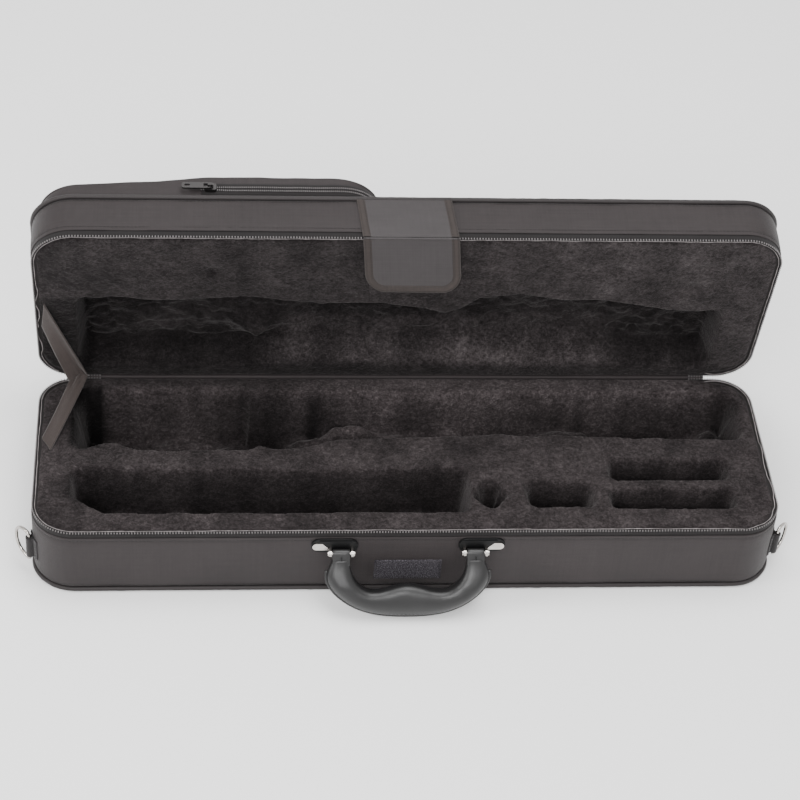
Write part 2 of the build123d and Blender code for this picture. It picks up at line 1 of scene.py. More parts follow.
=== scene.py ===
import math

import bpy
import numpy as np
from mathutils import Matrix, Vector


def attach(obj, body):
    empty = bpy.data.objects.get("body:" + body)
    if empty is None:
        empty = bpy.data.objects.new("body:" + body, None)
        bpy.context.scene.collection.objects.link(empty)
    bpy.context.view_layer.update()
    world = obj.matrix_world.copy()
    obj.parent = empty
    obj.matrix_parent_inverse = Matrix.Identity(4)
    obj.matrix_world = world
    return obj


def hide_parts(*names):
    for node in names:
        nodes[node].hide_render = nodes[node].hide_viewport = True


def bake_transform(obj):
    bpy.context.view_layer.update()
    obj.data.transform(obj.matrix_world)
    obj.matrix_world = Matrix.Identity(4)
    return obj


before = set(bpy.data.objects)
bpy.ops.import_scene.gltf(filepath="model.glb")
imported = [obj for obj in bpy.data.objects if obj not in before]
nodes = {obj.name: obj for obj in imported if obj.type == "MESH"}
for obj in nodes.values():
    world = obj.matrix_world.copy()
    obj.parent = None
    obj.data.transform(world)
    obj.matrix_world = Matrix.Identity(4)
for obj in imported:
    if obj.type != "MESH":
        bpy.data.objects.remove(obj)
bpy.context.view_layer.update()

# Camera: the photograph's view of the open case, from above its front and a little to the left,
# with a long lens and a slight roll. Its place is in metres from the middle of the base.
focal_pixels = 2248
picture_pixels = 800
sensor_width = 36
yaw = math.radians(7.35)
pitch = math.radians(43.2)
roll = math.radians(5.08)
ahead = Vector((math.sin(yaw) * math.cos(pitch), math.cos(yaw) * math.cos(pitch), -math.sin(pitch)))
level = Vector((math.cos(yaw), -math.sin(yaw), 0))
above = level.cross(ahead)
cam_x = level * math.cos(roll) + above * math.sin(roll)
cam_y = -level * math.sin(roll) + above * math.cos(roll)
camera_data = bpy.data.cameras.new("camera")
camera_data.sensor_width = sensor_width
camera_data.lens = focal_pixels / picture_pixels * sensor_width
camera_data.clip_end = 20
camera = bpy.data.objects.new("camera", camera_data)
camera.matrix_world = Matrix(
    (
        (cam_x.x, cam_y.x, -ahead.x, -0.208),
        (cam_x.y, cam_y.y, -ahead.y, -1.537),
        (cam_x.z, cam_y.z, -ahead.z, 1.603),
        (0, 0, 0, 1),
    )
)
bpy.context.scene.collection.objects.link(camera)
bpy.context.scene.camera = camera

# Floor and light: a matt pale table top inside a light tent of white cloth, which gives soft light
# from all sides. Three broad lamps stand at the front, over the top and at the left.


def start_material(name, rough, specular=0.5, metallic=0.0):
    """A material with its Principled shader set."""
    material = bpy.data.materials.new(name)
    material.use_nodes = True
    tree = material.node_tree
    shader = tree.nodes["Principled BSDF"]
    shader.inputs["Roughness"].default_value = rough
    shader.inputs["Specular IOR Level"].default_value = specular
    shader.inputs["Metallic"].default_value = metallic
    return material, tree, shader


def plain_finish(name, colour, rough, specular=0.5, metallic=0.0):
    """A finish in one colour."""
    material, _, shader = start_material(name, rough, specular, metallic)
    shader.inputs["Base Color"].default_value = (*colour, 1)
    return material


floor_mesh = bpy.data.meshes.new("floor")
floor_mesh.from_pydata([(-6, -6, 0), (6, -6, 0), (6, 6, 0), (-6, 6, 0)], [], [(0, 1, 2, 3)])
floor = bpy.data.objects.new("floor", floor_mesh)
floor.location.z = -0.0004
bpy.context.scene.collection.objects.link(floor)
floor_mesh.materials.append(plain_finish("pale_floor", (0.93, 0.93, 0.93), 0.9, 0.1))

world = bpy.data.worlds.new("tent")
world.use_nodes = True
world.node_tree.nodes["Background"].inputs[0].default_value = (1, 1, 1, 1)
world.node_tree.nodes["Background"].inputs[1].default_value = 1.05
bpy.context.scene.world = world


def lamp(name, place, target, size, power):
    """A square area lamp aimed at a point."""
    data = bpy.data.lights.new(name, "AREA")
    data.shape = "RECTANGLE"
    data.size = size[0]
    data.size_y = size[1]
    data.energy = power
    obj = bpy.data.objects.new(name, data)
    obj.location = place
    obj.rotation_euler = (Vector(target) - Vector(place)).to_track_quat("-Z", "Y").to_euler()
    bpy.context.scene.collection.objects.link(obj)


lamp("lamp_front", (-0.5, -2.0, 1.9), (0, 0, 0.1), (1.5, 0.9), 56)
lamp("lamp_top", (0.2, 0.2, 2.4), (0, 0.05, 0.1), (2.0, 1.2), 52)
lamp("lamp_left", (-2.2, -0.4, 1.3), (0, 0, 0.1), (0.8, 1.0), 24)

# Base walls: dark grey nylon over foam and board, one strip round the case, stitched to the zip
# tape at the top and into the piping at the bottom. It puckers a little along the upper seam.


half_length = 355.0
half_depth = 106.0
front_corner = 40.0
rear_corner = 35.0
rim_height = 79.0
lid_lean = math.radians(80)


def on_base(points):
    """Millimetres in the base's frame to metres."""
    return np.asarray(points, float) / 1000


def noise(x, y, size, seed):
    """Smooth value noise from -1 to 1, with features about size across."""
    table = np.random.RandomState(seed).uniform(-1, 1, (97, 97))
    u = np.asarray(x, float) / size + 31.3 + seed
    v = np.asarray(y, float) / size + 17.7
    iu = np.floor(u).astype(int)
    iv = np.floor(v).astype(int)
    fu = u - iu
    fv = v - iv
    fu = fu * fu * fu * (fu * (fu * 6 - 15) + 10)
    fv = fv * fv * fv * (fv * (fv * 6 - 15) + 10)
    a = table[iu % 97, iv % 97]
    b = table[(iu + 1) % 97, iv % 97]
    c = table[iu % 97, (iv + 1) % 97]
    d = table[(iu + 1) % 97, (iv + 1) % 97]
    return (a * (1 - fu) + b * fu) * (1 - fv) + (c * (1 - fu) + d * fu) * fv


def line_noise(run, size, seed):
    """The same noise along a line."""
    return noise(run, 0 * run, size, seed)


def running(steps):
    """Running total of steps, from zero."""
    return np.concatenate([[0], np.cumsum(steps)])


def grid_faces(nu, nv, close_u=False, close_v=False, flip=False):
    """Quads over a grid of nu by nv points, stored row by row."""
    ru = np.arange(nu if close_u else nu - 1)
    rv = np.arange(nv if close_v else nv - 1)
    i, j = np.meshgrid(ru, rv, indexing="ij")
    i2 = (i + 1) % nu
    j2 = (j + 1) % nv
    quad = np.stack([i * nv + j, i2 * nv + j, i2 * nv + j2, i * nv + j2], -1).reshape(-1, 4)
    return quad[:, ::-1] if flip else quad


def caps(nu, nv, flip=False):
    """Faces that close the first and last rows of a tube."""
    first = list(range(nv))
    last = list(range((nu - 1) * nv, nu * nv))
    return [first[::-1], last] if flip else [first, last[::-1]]


def grid_object(name, points, uvs=None, close_u=False, close_v=False, flip=False, capped=False):
    """Make an object from a grid of points."""
    nu, nv = points.shape[:2]
    faces = grid_faces(nu, nv, close_u, close_v, flip).tolist()
    if capped:
        faces += caps(nu, nv, flip)
    mesh = bpy.data.meshes.new(name)
    mesh.from_pydata(points.reshape(-1, 3).tolist(), [], faces)
    layer = mesh.uv_layers.new(name="UVMap")
    if uvs is None:
        uvs = np.stack(np.meshgrid(np.arange(nu), np.arange(nv), indexing="ij"), -1) * 0.001
    loops = np.zeros(len(mesh.loops), int)
    mesh.loops.foreach_get("vertex_index", loops)
    layer.data.foreach_set("uv", np.asarray(uvs, float).reshape(-1, 2)[loops].ravel())
    mesh.polygons.foreach_set("use_smooth", [True] * len(mesh.polygons))
    mesh.update()
    obj = bpy.data.objects.new(name, mesh)
    bpy.context.scene.collection.objects.link(obj)
    return obj


def outline(step, gap=0.0):
    """The case's plan outline from the rear, by the left and the front, to the rear again.

    Gives points, outward normals and the running length, in millimetres. With a gap,
    the outline starts and ends at that x on the rear.
    """
    hx = half_length
    hy = half_depth
    parts = []

    def line(a, b, n):
        count = max(2, int(math.dist(a, b) / step))
        for k in range(count):
            t = k / count
            parts.append((a[0] + (b[0] - a[0]) * t, a[1] + (b[1] - a[1]) * t, n[0], n[1]))

    def arc(cx, cy, r, a0, a1):
        count = max(6, int(abs(a1 - a0) * r / step * 1.6))
        for k in range(count):
            a = a0 + (a1 - a0) * k / count
            parts.append((cx + r * math.cos(a), cy + r * math.sin(a), math.cos(a), math.sin(a)))

    half = math.pi / 2
    rear = rear_corner
    front = front_corner
    line((-gap, hy), (-hx + rear, hy), (0, 1))
    arc(-hx + rear, hy - rear, rear, half, 2 * half)
    line((-hx, hy - rear), (-hx, -hy + front), (-1, 0))
    arc(-hx + front, -hy + front, front, 2 * half, 3 * half)
    line((-hx + front, -hy), (hx - front, -hy), (0, -1))
    arc(hx - front, -hy + front, front, -half, 0)
    line((hx, -hy + front), (hx, hy - rear), (1, 0))
    arc(hx - rear, hy - rear, rear, 0, half)
    line((hx - rear, hy), (gap, hy), (0, 1))
    if gap:
        parts.append((gap, hy, 0, 1))
    p = np.array(parts)
    return p[:, :2], p[:, 2:], running(np.hypot(*np.diff(p[:, :2], axis=0).T))


def ring(name, place, step, profile, shift=None, gap=0.0, closed_profile=False, flip=False):
    """Sweep a profile of (inset, height) pairs round the outline.

    shift(x, y, s, k) gives extra outward and upward movement of profile point k.
    """
    p, n, s = outline(step, gap)
    rows = []
    uvs = []
    run = running([math.dist(a, b) for a, b in zip(profile, profile[1:])])
    for k, (inset, height) in enumerate(profile):
        out, rise = shift(p[:, 0], p[:, 1], s, k) if shift else (0, 0)
        xy = p + n * (out - inset + np.zeros(len(p)))[:, None]
        rows.append(np.column_stack([xy, height + rise + np.zeros(len(p))]))
        uvs.append(np.column_stack([s, np.full(len(p), run[k])]) / 1000)
    points = place(np.stack(rows, 1))
    return grid_object(
        name, points, np.stack(uvs, 1), gap == 0, closed_profile, flip, closed_profile and gap > 0
    )


def set_material(obj, material):
    """Give the whole object one material."""
    obj.data.materials.clear()
    obj.data.materials.append(material)
    return obj


def shader_group(name, inputs, outputs):
    """A shader node group with float or vector sockets."""
    g = bpy.data.node_groups.new(name, "ShaderNodeTree")
    for label, kind, value in inputs:
        socket = g.interface.new_socket(label, in_out="INPUT", socket_type=kind)
        if value is not None:
            socket.default_value = value
    for label in outputs:
        g.interface.new_socket(label, in_out="OUTPUT", socket_type="NodeSocketFloat")
    return g, g.nodes.new("NodeGroupInput"), g.nodes.new("NodeGroupOutput")


def calc(tree, operation, a, b=None, c=None):
    """A math node; a, b and c are sockets or numbers."""
    node = tree.nodes.new("ShaderNodeMath")
    node.operation = operation
    for k, value in enumerate((a, b, c)):
        if value is None:
            continue
        if isinstance(value, (int, float)):
            node.inputs[k].default_value = value
        else:
            tree.links.new(value, node.inputs[k])
    return node.outputs[0]


def weighted(tree, a, share_a, b, share_b):
    """Two values added, each with its share."""
    return calc(tree, "ADD", calc(tree, "MULTIPLY", a, share_a), calc(tree, "MULTIPLY", b, share_b))


def cloud(tree, vector, scale, detail=3.0, rough=0.55, distortion=0.0):
    """A noise texture's value, from 0 to 1."""
    node = tree.nodes.new("ShaderNodeTexNoise")
    node.inputs["Scale"].default_value = scale
    node.inputs["Detail"].default_value = detail
    node.inputs["Roughness"].default_value = rough
    node.inputs["Distortion"].default_value = distortion
    tree.links.new(vector, node.inputs["Vector"])
    return node.outputs["Fac"]


def stretched(tree, vector, scale):
    """The vector with each axis multiplied."""
    node = tree.nodes.new("ShaderNodeMapping")
    node.inputs["Scale"].default_value = scale
    tree.links.new(vector, node.inputs["Vector"])
    return node.outputs[0]


def make_weave():
    """Plain weave seen close: over and under threads as height, with uneven threads as tone."""
    inputs = [("Vector", "NodeSocketVector", None), ("Threads", "NodeSocketFloat", 1400.0)]
    g, i, o = shader_group("weave", inputs, ["Height", "Tone"])
    split = g.nodes.new("ShaderNodeSeparateXYZ")
    g.links.new(i.outputs["Vector"], split.inputs[0])
    u = calc(g, "MULTIPLY", split.outputs[0], i.outputs["Threads"])
    v = calc(g, "MULTIPLY", split.outputs[1], i.outputs["Threads"])
    warp = calc(g, "ABSOLUTE", calc(g, "SINE", calc(g, "MULTIPLY", u, math.pi)))
    weft = calc(g, "ABSOLUTE", calc(g, "SINE", calc(g, "MULTIPLY", v, math.pi)))
    both = calc(g, "ADD", calc(g, "FLOOR", u), calc(g, "FLOOR", v))
    over = calc(g, "ABSOLUTE", calc(g, "MODULO", both, 2))
    g.links.new(weighted(g, warp, over, weft, calc(g, "SUBTRACT", 1, over)), o.inputs["Height"])
    uneven_u = cloud(g, stretched(g, i.outputs["Vector"], (900, 12, 12)), 1, 1)
    uneven_v = cloud(g, stretched(g, i.outputs["Vector"], (12, 900, 12)), 1, 1)
    tone = calc(g, "MULTIPLY", calc(g, "ADD", uneven_u, uneven_v), 0.5)
    g.links.new(tone, o.inputs["Tone"])
    return g


def make_wear():
    """Slow uneven shade, as of dust and handling."""
    g, i, o = shader_group("wear", [("Vector", "NodeSocketVector", None)], ["Tone", "Speck"])
    broad = cloud(g, i.outputs["Vector"], 9, 4, 0.6, 0.4)
    fine = cloud(g, i.outputs["Vector"], 160, 2, 0.5)
    g.links.new(weighted(g, broad, 0.7, fine, 0.3), o.inputs["Tone"])
    speck = calc(g, "GREATER_THAN", cloud(g, i.outputs["Vector"], 420, 1, 0.5), 0.74)
    g.links.new(speck, o.inputs["Speck"])
    return g


weave_nodes = make_weave()
wear_nodes = make_wear()


def use_group(tree, group, vector, **values):
    """Add a shader group to a material."""
    node = tree.nodes.new("ShaderNodeGroup")
    node.node_tree = group
    tree.links.new(vector, node.inputs["Vector"])
    for label, value in values.items():
        node.inputs[label].default_value = value
    return node


def ramp(tree, value, stops):
    """A colour ramp; stops are (position, colour)."""
    node = tree.nodes.new("ShaderNodeValToRGB")
    points = node.color_ramp.elements
    while len(points) < len(stops):
        points.new(0.5)
    for point, (position, colour) in zip(points, stops):
        point.position = position
        point.color = (*colour, 1)
    tree.links.new(value, node.inputs[0])
    return node.outputs[0]


def bump(tree, shader, height, strength, distance):
    """Drive the shader's normal from a height."""
    node = tree.nodes.new("ShaderNodeBump")
    node.inputs["Strength"].default_value = strength
    node.inputs["Distance"].default_value = distance
    tree.links.new(height, node.inputs["Height"])
    tree.links.new(node.outputs[0], shader.inputs["Normal"])


def cloth(name, colour, rough=0.75, threads=1400.0, depth=0.00012, sheen=0.25, spread=0.16, uv=True):
    """Woven cloth in one colour, with uneven threads and slow wear."""
    material, tree, shader = start_material(name, rough, 0.22)
    where = tree.nodes.new("ShaderNodeTexCoord")
    flat = where.outputs["UV" if uv else "Object"]
    weave = use_group(tree, weave_nodes, flat, Threads=threads)
    wear = use_group(tree, wear_nodes, where.outputs["Object"])
    tone = weighted(tree, weave.outputs["Tone"], 0.5, wear.outputs["Tone"], 0.5)
    dark = tuple(c * (1 - spread * 2.2) for c in colour)
    light = tuple(c * (1 + spread * 2.2) for c in colour)
    shades = ramp(tree, tone, [(0.25, dark), (0.5, colour), (0.75, light)])
    tree.links.new(shades, shader.inputs["Base Color"])
    shader.inputs["Sheen Weight"].default_value = sheen
    shader.inputs["Sheen Roughness"].default_value = 0.45
    bump(tree, shader, weave.outputs["Height"], 0.5, depth)
    return material


nylon = cloth("nylon", (0.0235, 0.0192, 0.0195), 0.6, 1500.0, 0.0001, 0.07, 0.18)


def pucker(s, share):
    """How far the cloth stands out beside a seam."""
    small = line_noise(s, 7.0, 3) * 0.22 + line_noise(s, 3.2, 4) * 0.12
    slow = line_noise(s, 60.0, 5) * 0.35
    return small * share + slow * 0.4


base_profile = [(1.9, 70.2), (0.5, 71.0), (0.1, 70.6), (0, 69.8), (0, 68.6), (0.35, 67.6), (0.1, 66.4)]
base_profile += [(-0.1, z) for z in (64, 60, 54, 46, 38, 30, 22, 15, 10)]
base_profile += [(0.1, 7.4), (0.5, 6.0), (1.4, 5.0)]


def base_wall_shift(x, y, s, k):
    z = base_profile[k][1]
    near = math.exp(-(((z - 67.5) / 5) ** 2)) + 0.6 * math.exp(-(((z - 7) / 4) ** 2))
    belly = 0.5 * math.sin(math.pi * min(1, max(0, (z - 5) / 66)))
    return pucker(s, near) * 0.8 + belly * 0.6 + noise(x + y * 0.7, z + 0 * x, 38, 11) * 0.25, 0


base_walls = ring("base_walls", on_base, 1.6, base_profile, base_wall_shift, flip=True)
set_material(base_walls, nylon)
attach(base_walls, "base")
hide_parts("base_side_cover")

# Lid walls: the same nylon strip, narrower, with its folded edge on the zip tape and its other
# edge sewn into the piping round the lid's outer face.


def on_lid(points):
    """Plan x, y and height above the lid's rim, all in millimetres, to metres with the lid open."""
    p = np.asarray(points, float)
    c = math.cos(lid_lean)
    s = math.sin(lid_lean)
    y = p[..., 1] - half_depth
    z = p[..., 2]
    return np.stack([p[..., 0], half_depth + y * c + z * s, rim_height - y * s + z * c], -1) / 1000


lid_profile = [(1.9, 8.8), (0.5, 8.0), (0.1, 8.5), (0, 9.4), (0, 10.8), (0.4, 12.2), (0.05, 13.8)]
lid_profile += [(-0.1, z) for z in (16, 20, 25, 30, 35, 39)]
lid_profile += [(0, 42), (0.3, 44.4), (0.9, 45.8), (1.8, 46.6)]


def lid_wall_shift(x, y, s, k):
    z = lid_profile[k][1]
    near = math.exp(-(((z - 12.5) / 4.5) ** 2)) + 0.6 * math.exp(-(((z - 44) / 3) ** 2))
    belly = 0.8 * math.sin(math.pi * min(1, max(0, (z - 8) / 38)))
    return pucker(s + 400, near) + belly * 0.6 + noise(x + y * 0.7, z + 0 * x, 30, 12) * 0.3, 0


lid_walls = ring("lid_walls", on_lid, 1.6, lid_profile, lid_wall_shift)
set_material(lid_walls, nylon)
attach(lid_walls, "lid")
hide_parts("lid_side_cover")

# Outer faces: the base's underside and the lid's outside, flat panels of the same nylon stretched
# over foam and board and sewn into the piping. The lid's face stands out a little in the middle.


def smooth(t):
    """Ease from 0 to 1."""
    t = np.clip(t, 0, 1)
    return t * t * (3 - 2 * t)


def plan_grid(inset, columns, rows):
    """Points that fill the rounded plan outline, as x and y arrays."""
    hx = half_length - inset
    hy = half_depth - inset
    t = np.linspace(-1, 1, rows)
    y = hy * (0.62 * t + 0.38 * np.sin(t * math.pi / 2))
    radius = np.where(y < 0, front_corner, rear_corner) - inset
    over = np.maximum(np.abs(y) - (hy - radius), 0)
    half = hx - radius + np.sqrt(np.maximum(radius**2 - over**2, 0.01))
    u = np.linspace(-1, 1, columns)
    x = u[:, None] * half[None, :]
    return x, np.broadcast_to(y, x.shape).copy()


face_edge = 1.6
gx, gy = plan_grid(face_edge, 120, 44)
edge = np.minimum(half_length - face_edge - np.abs(gx), half_depth - face_edge - np.abs(gy))
under = np.stack([gx, gy, 0.15 + 1.6 * np.exp(-np.maximum(edge, 0) / 3)], -1)
base_floor = grid_object("base_floor", on_base(under), np.stack([gx, gy], -1) / 1000, flip=True)
set_material(base_floor, nylon)
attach(base_floor, "base")
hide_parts("base_bottom_cover")

over = 49.6 + 1.2 * smooth(edge / 40) + 0.25 * noise(gx, gy, 45, 21)
lid_face = grid_object("lid_face", on_lid(np.stack([gx, gy, over], -1)), np.stack([gx, gy], -1) / 1000)
set_material(lid_face, nylon)
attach(lid_face, "lid")
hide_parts("lid_top_cover")

# Piping: round cord wrapped in satin cloth, sewn all round into the seam between wall and face, at
# the base's foot and at the lid's outer edge. Its thickness varies a little along the seam.
piping_cloth = cloth("piping_cloth", (0.024, 0.0205, 0.0207), 0.45, 1900.0, 0.00008, 0.06, 0.12)


def piping(name, place, middle, away):
    """A round welt."""
    p, n, s = outline(1.8)
    swell = 2.35 + 0.12 * line_noise(s, 9, 31) + 0.08 * line_noise(s, 3, 32)
    a = np.linspace(0, 2 * math.pi, 14, endpoint=False)
    out = -0.2 + swell[:, None] * np.cos(a)[None, :]
    rise = swell[:, None] * np.sin(a)[None, :]
    xy = p[:, None] + n[:, None] * out[..., None]
    uvs = np.stack(np.broadcast_arrays(s[:, None], a * 2.35), -1) / 1000
    return grid_object(name, place(np.dstack([xy, middle + away * rise])), uvs, True, True, away < 0)


base_piping = piping("base_welt", on_base, 2.6, 1)
lid_piping = piping("lid_welt", on_lid, 48.4, 1)
for welt, body, node in ((base_piping, "base", "base_piping"), (lid_piping, "lid", "lid_piping")):
    set_material(welt, piping_cloth)
    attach(welt, body)
    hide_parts(node)

# Zip tape: a woven band sewn behind the folded edge of the nylon, on the base and on the lid. It
# goes round the ends and the front and leaves the hinge at the rear free.
zip_end_x = 296.0
tape_cloth = cloth("tape_cloth", (0.011, 0.0095, 0.0097), 0.8, 1100.0, 0.00016, 0.08, 0.2)


def tape_shift(x, y, s, k):
    return line_noise(s, 11, 41) * 0.12, 0


base_tape_profile = [(2.0, 65.0), (1.25, 65.2), (1.2, 71), (1.15, 74)]
base_tape_profile += [(1.2, 76.6), (1.5, 77.3), (2.0, 77.4), (2.0, 65.0)]
lid_tape_profile = [(inset, rim_height - z) for inset, z in base_tape_profile]
base_tape = ring("base_tape", on_base, 2.4, base_tape_profile, tape_shift, zip_end_x)
lid_tape = ring("lid_tape", on_lid, 2.4, lid_tape_profile, tape_shift, zip_end_x, flip=True)
for tape, body, node in ((base_tape, "base", "base_zip_tape"), (lid_tape, "lid", "lid_zip_tape")):
    set_material(tape, tape_cloth)
    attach(tape, body)
    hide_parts(node)

# Zip teeth: a coil of stiff nylon sewn along each tape's edge, one rounded loop after the other,
# with the woven cord of the tape's edge behind it
tooth_pitch = 0.0027


def tube(name, path, radius, sides=10, closed=False, flat=1.0, place=on_base):
    """A round or flattened tube along points in millimetres."""
    path = np.asarray(path, float)
    if closed:
        tangent = np.roll(path, -1, 0) - np.roll(path, 1, 0)
    else:
        tangent = np.gradient(path, axis=0)
    tangent /= np.linalg.norm(tangent, axis=1)[:, None]
    up = np.zeros_like(path) + (0, 0, 1)
    side = np.cross(tangent, up)
    weak = np.linalg.norm(side, axis=1) < 0.2
    side[weak] = np.cross(tangent[weak], (0, 1, 0))
    side /= np.linalg.norm(side, axis=1)[:, None]
    up = np.cross(side, tangent)
    a = np.linspace(0, 2 * math.pi, sides, endpoint=False)
    r = np.broadcast_to(radius, (len(path),))[:, None, None]
    across = np.cos(a)[None, :, None] * side[:, None]
    rise = flat * np.sin(a)[None, :, None] * up[:, None]
    points = path[:, None] + r * (across + rise)
    return grid_object(name, place(points), None, closed, True, True, not closed)


def join(name, parts):
    """Join several objects into one."""
    with bpy.context.temp_override(
        active_object=parts[0], object=parts[0], selected_objects=parts, selected_editable_objects=parts
    ):
        bpy.ops.object.join()
    parts[0].name = name
    return parts[0]


def repeat_group():
    """Node group that sets copies of a unit along a line at a fixed pitch."""
    g = bpy.data.node_groups.new("repeat_along_line", "GeometryNodeTree")
    for label, kind in (
        ("Geometry", "Geometry"),
        ("Unit", "Object"),
        ("Pitch", "Float"),
        ("Wobble", "Float"),
        ("Seed", "Int"),
        ("Material", "Material"),
    ):
        g.interface.new_socket(label, in_out="INPUT", socket_type="NodeSocket" + kind)
    g.interface.new_socket("Geometry", in_out="OUTPUT", socket_type="NodeSocketGeometry")
    new = g.nodes.new
    put_in = new("NodeGroupInput")
    put_out = new("NodeGroupOutput")
    to_curve = new("GeometryNodeMeshToCurve")
    resample = new("GeometryNodeResampleCurve")
    resample.mode = "LENGTH"
    unit = new("GeometryNodeObjectInfo")
    tangent = new("GeometryNodeInputTangent")
    up = new("GeometryNodeInputNamedAttribute")
    up.data_type = "FLOAT_VECTOR"
    up.inputs["Name"].default_value = "up"
    stand = new("FunctionNodeAlignRotationToVector")
    stand.axis = "Z"
    turn = new("FunctionNodeAlignRotationToVector")
    turn.axis = "X"
    turn.pivot_axis = "Z"
    vary = new("FunctionNodeRandomValue")
    vary.data_type = "FLOAT"
    low = new("ShaderNodeMath")
    low.operation = "SUBTRACT"
    low.inputs[0].default_value = 1
    high = new("ShaderNodeMath")
    high.operation = "ADD"
    high.inputs[0].default_value = 1
    place = new("GeometryNodeInstanceOnPoints")
    real = new("GeometryNodeRealizeInstances")
    paint = new("GeometryNodeSetMaterial")
    for source, given, target, taken in (
        (put_in, "Geometry", to_curve, "Mesh"),
        (to_curve, "Curve", resample, "Curve"),
        (put_in, "Pitch", resample, "Length"),
        (put_in, "Unit", unit, "Object"),
        (up, "Attribute", stand, "Vector"),
        (stand, "Rotation", turn, "Rotation"),
        (tangent, "Tangent", turn, "Vector"),
        (put_in, "Wobble", low, 1),
        (put_in, "Wobble", high, 1),
        (low, 0, vary, 2),
        (high, 0, vary, 3),
        (put_in, "Seed", vary, "Seed"),
        (resample, "Curve", place, "Points"),
        (unit, "Geometry", place, "Instance"),
        (turn, "Rotation", place, "Rotation"),
        (vary, 1, place, "Scale"),
        (place, "Instances", real, "Geometry"),
        (real, "Geometry", paint, "Geometry"),
        (put_in, "Material", paint, "Material"),
        (paint, "Geometry", put_out, "Geometry"),
    ):
        g.links.new(source.outputs[given], target.inputs[taken])
    return g


repeat_nodes = repeat_group()


def repeat(name, path, up, unit, pitch, material, wobble=0.0, closed=False):
    """Copies of unit along a path in metres, with their Z along up and their X along the path."""
    path = np.asarray(path, float)
    edges = [(k, k + 1) for k in range(len(path) - 1)]
    if closed:
        edges.append((len(path) - 1, 0))
    mesh = bpy.data.meshes.new(name)
    mesh.from_pydata(path.tolist(), edges, [])
    attribute = mesh.attributes.new("up", "FLOAT_VECTOR", "POINT")
    attribute.data.foreach_set("vector", np.broadcast_to(up, path.shape).astype(float).ravel())
    obj = bpy.data.objects.new(name, mesh)
    bpy.context.scene.collection.objects.link(obj)
    modifier = obj.modifiers.new("repeat", "NODES")
    modifier.node_group = repeat_nodes
    values = {"Unit": unit, "Pitch": pitch, "Wobble": wobble, "Seed": 5, "Material": material}
    for item in repeat_nodes.interface.items_tree:
        if item.in_out == "INPUT" and item.name in values:
            modifier[item.identifier] = values[item.name]
    bpy.context.view_layer.update()
    made = bpy.data.meshes.new_from_object(obj.evaluated_get(bpy.context.evaluated_depsgraph_get()))
    obj.modifiers.clear()
    obj.data = made
    made.polygons.foreach_set("use_smooth", [True] * len(made.polygons))
    if not made.materials:
        made.materials.append(material)
    return obj


def unit_bead(name, half_x, half_y, half_z, rings=5, sides=8):
    """A rounded bar, kept out of the scene, whose length runs along X."""
    a = np.linspace(0, 2 * math.pi, sides, endpoint=False)
    points = []
    for t in np.linspace(-1, 1, rings):
        r = max(0.02, (1 - abs(t) ** 3) ** 0.5)
        across = np.cos(a) * half_y * r
        points.append(np.column_stack([np.full(sides, t * half_x), across, np.sin(a) * half_z * r]))
    obj = grid_object(name, np.array(points) / 1000, None, False, True, False, True)
    bpy.context.scene.collection.objects.unlink(obj)
    return obj


coil_plastic = plain_finish("coil_plastic", (0.13, 0.12, 0.12), 0.32, 0.5)
tooth = unit_bead("tooth", 1.3, 0.8, 0.58, 5, 8)
tooth.data.transform(Matrix.Rotation(math.pi / 2, 4, "Y"))
path, normal, length = outline(2.0, zip_end_x)
for name, place, height, body, node in (
    ("base_teeth", on_base, 77.6, "base", "base_zip_coil"),
    ("lid_teeth", on_lid, 1.4, "lid", "lid_zip_coil"),
):
    line = path - normal * 1.0
    wave = 0.12 * line_noise(length, 14, 43)
    points = place(np.column_stack([line, height + wave]))
    up = place(np.array([0.0, 0, 1])) - place(np.array([0.0, 0, 0]))
    teeth = repeat(name, points, up / np.linalg.norm(up), tooth, tooth_pitch, coil_plastic, 0.06)
    cord_path = np.column_stack([path - normal * 1.9, height + wave])
    cord_line = tube(name + "_cord", cord_path, 0.42, 6, place=place)
    set_material(cord_line, tape_cloth)
    teeth = join(name, [teeth, cord_line])
    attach(teeth, body)
    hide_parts(node)

# Seam stitches: dark thread sewn by machine, one row through the nylon's folded edge beside the
# zip and one beside the piping, on the base's walls and on the lid's
thread = plain_finish("thread", (0.022, 0.02, 0.02), 0.7, 0.3)
stitch = unit_bead("stitch", 1.35, 0.26, 0.26, 5, 6)


def sew(name, line, out, pitch=3.6, closed=False):
    """A row of stitches along a line in metres, lying on the side that out points to."""
    return repeat(name, line, out, stitch, pitch / 1000, thread, 0.08, closed)


p, n, s = outline(2.0)
for name, place, heights, body in (
    ("base_stitches", on_base, (67.6, 7.6), "base"),
    ("lid_stitches", on_lid, (12.2, 43.8), "lid"),
):
    made = []
    for k, height in enumerate(heights):
        points = place(np.column_stack([p + n * 0.1, np.full(len(p), height)]))
        out = place(np.column_stack([p + n, np.full(len(p), height)])) - points
        made.append(sew(f"{name}_{k}", points, out * 1000, closed=True))
    sewn = join(name, made)
    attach(sewn, body)

# Lining edge: the pale cut edge of the plush lining, glued to the walls just inside the zip. It
# frays and strays where the glue has let go, at the base's front right and the lid's left.
lining_paint = cloth("lining_cut_edge", (0.20, 0.18, 0.18), 0.85, 1500.0, 0.0001, 0.3, 0.4)


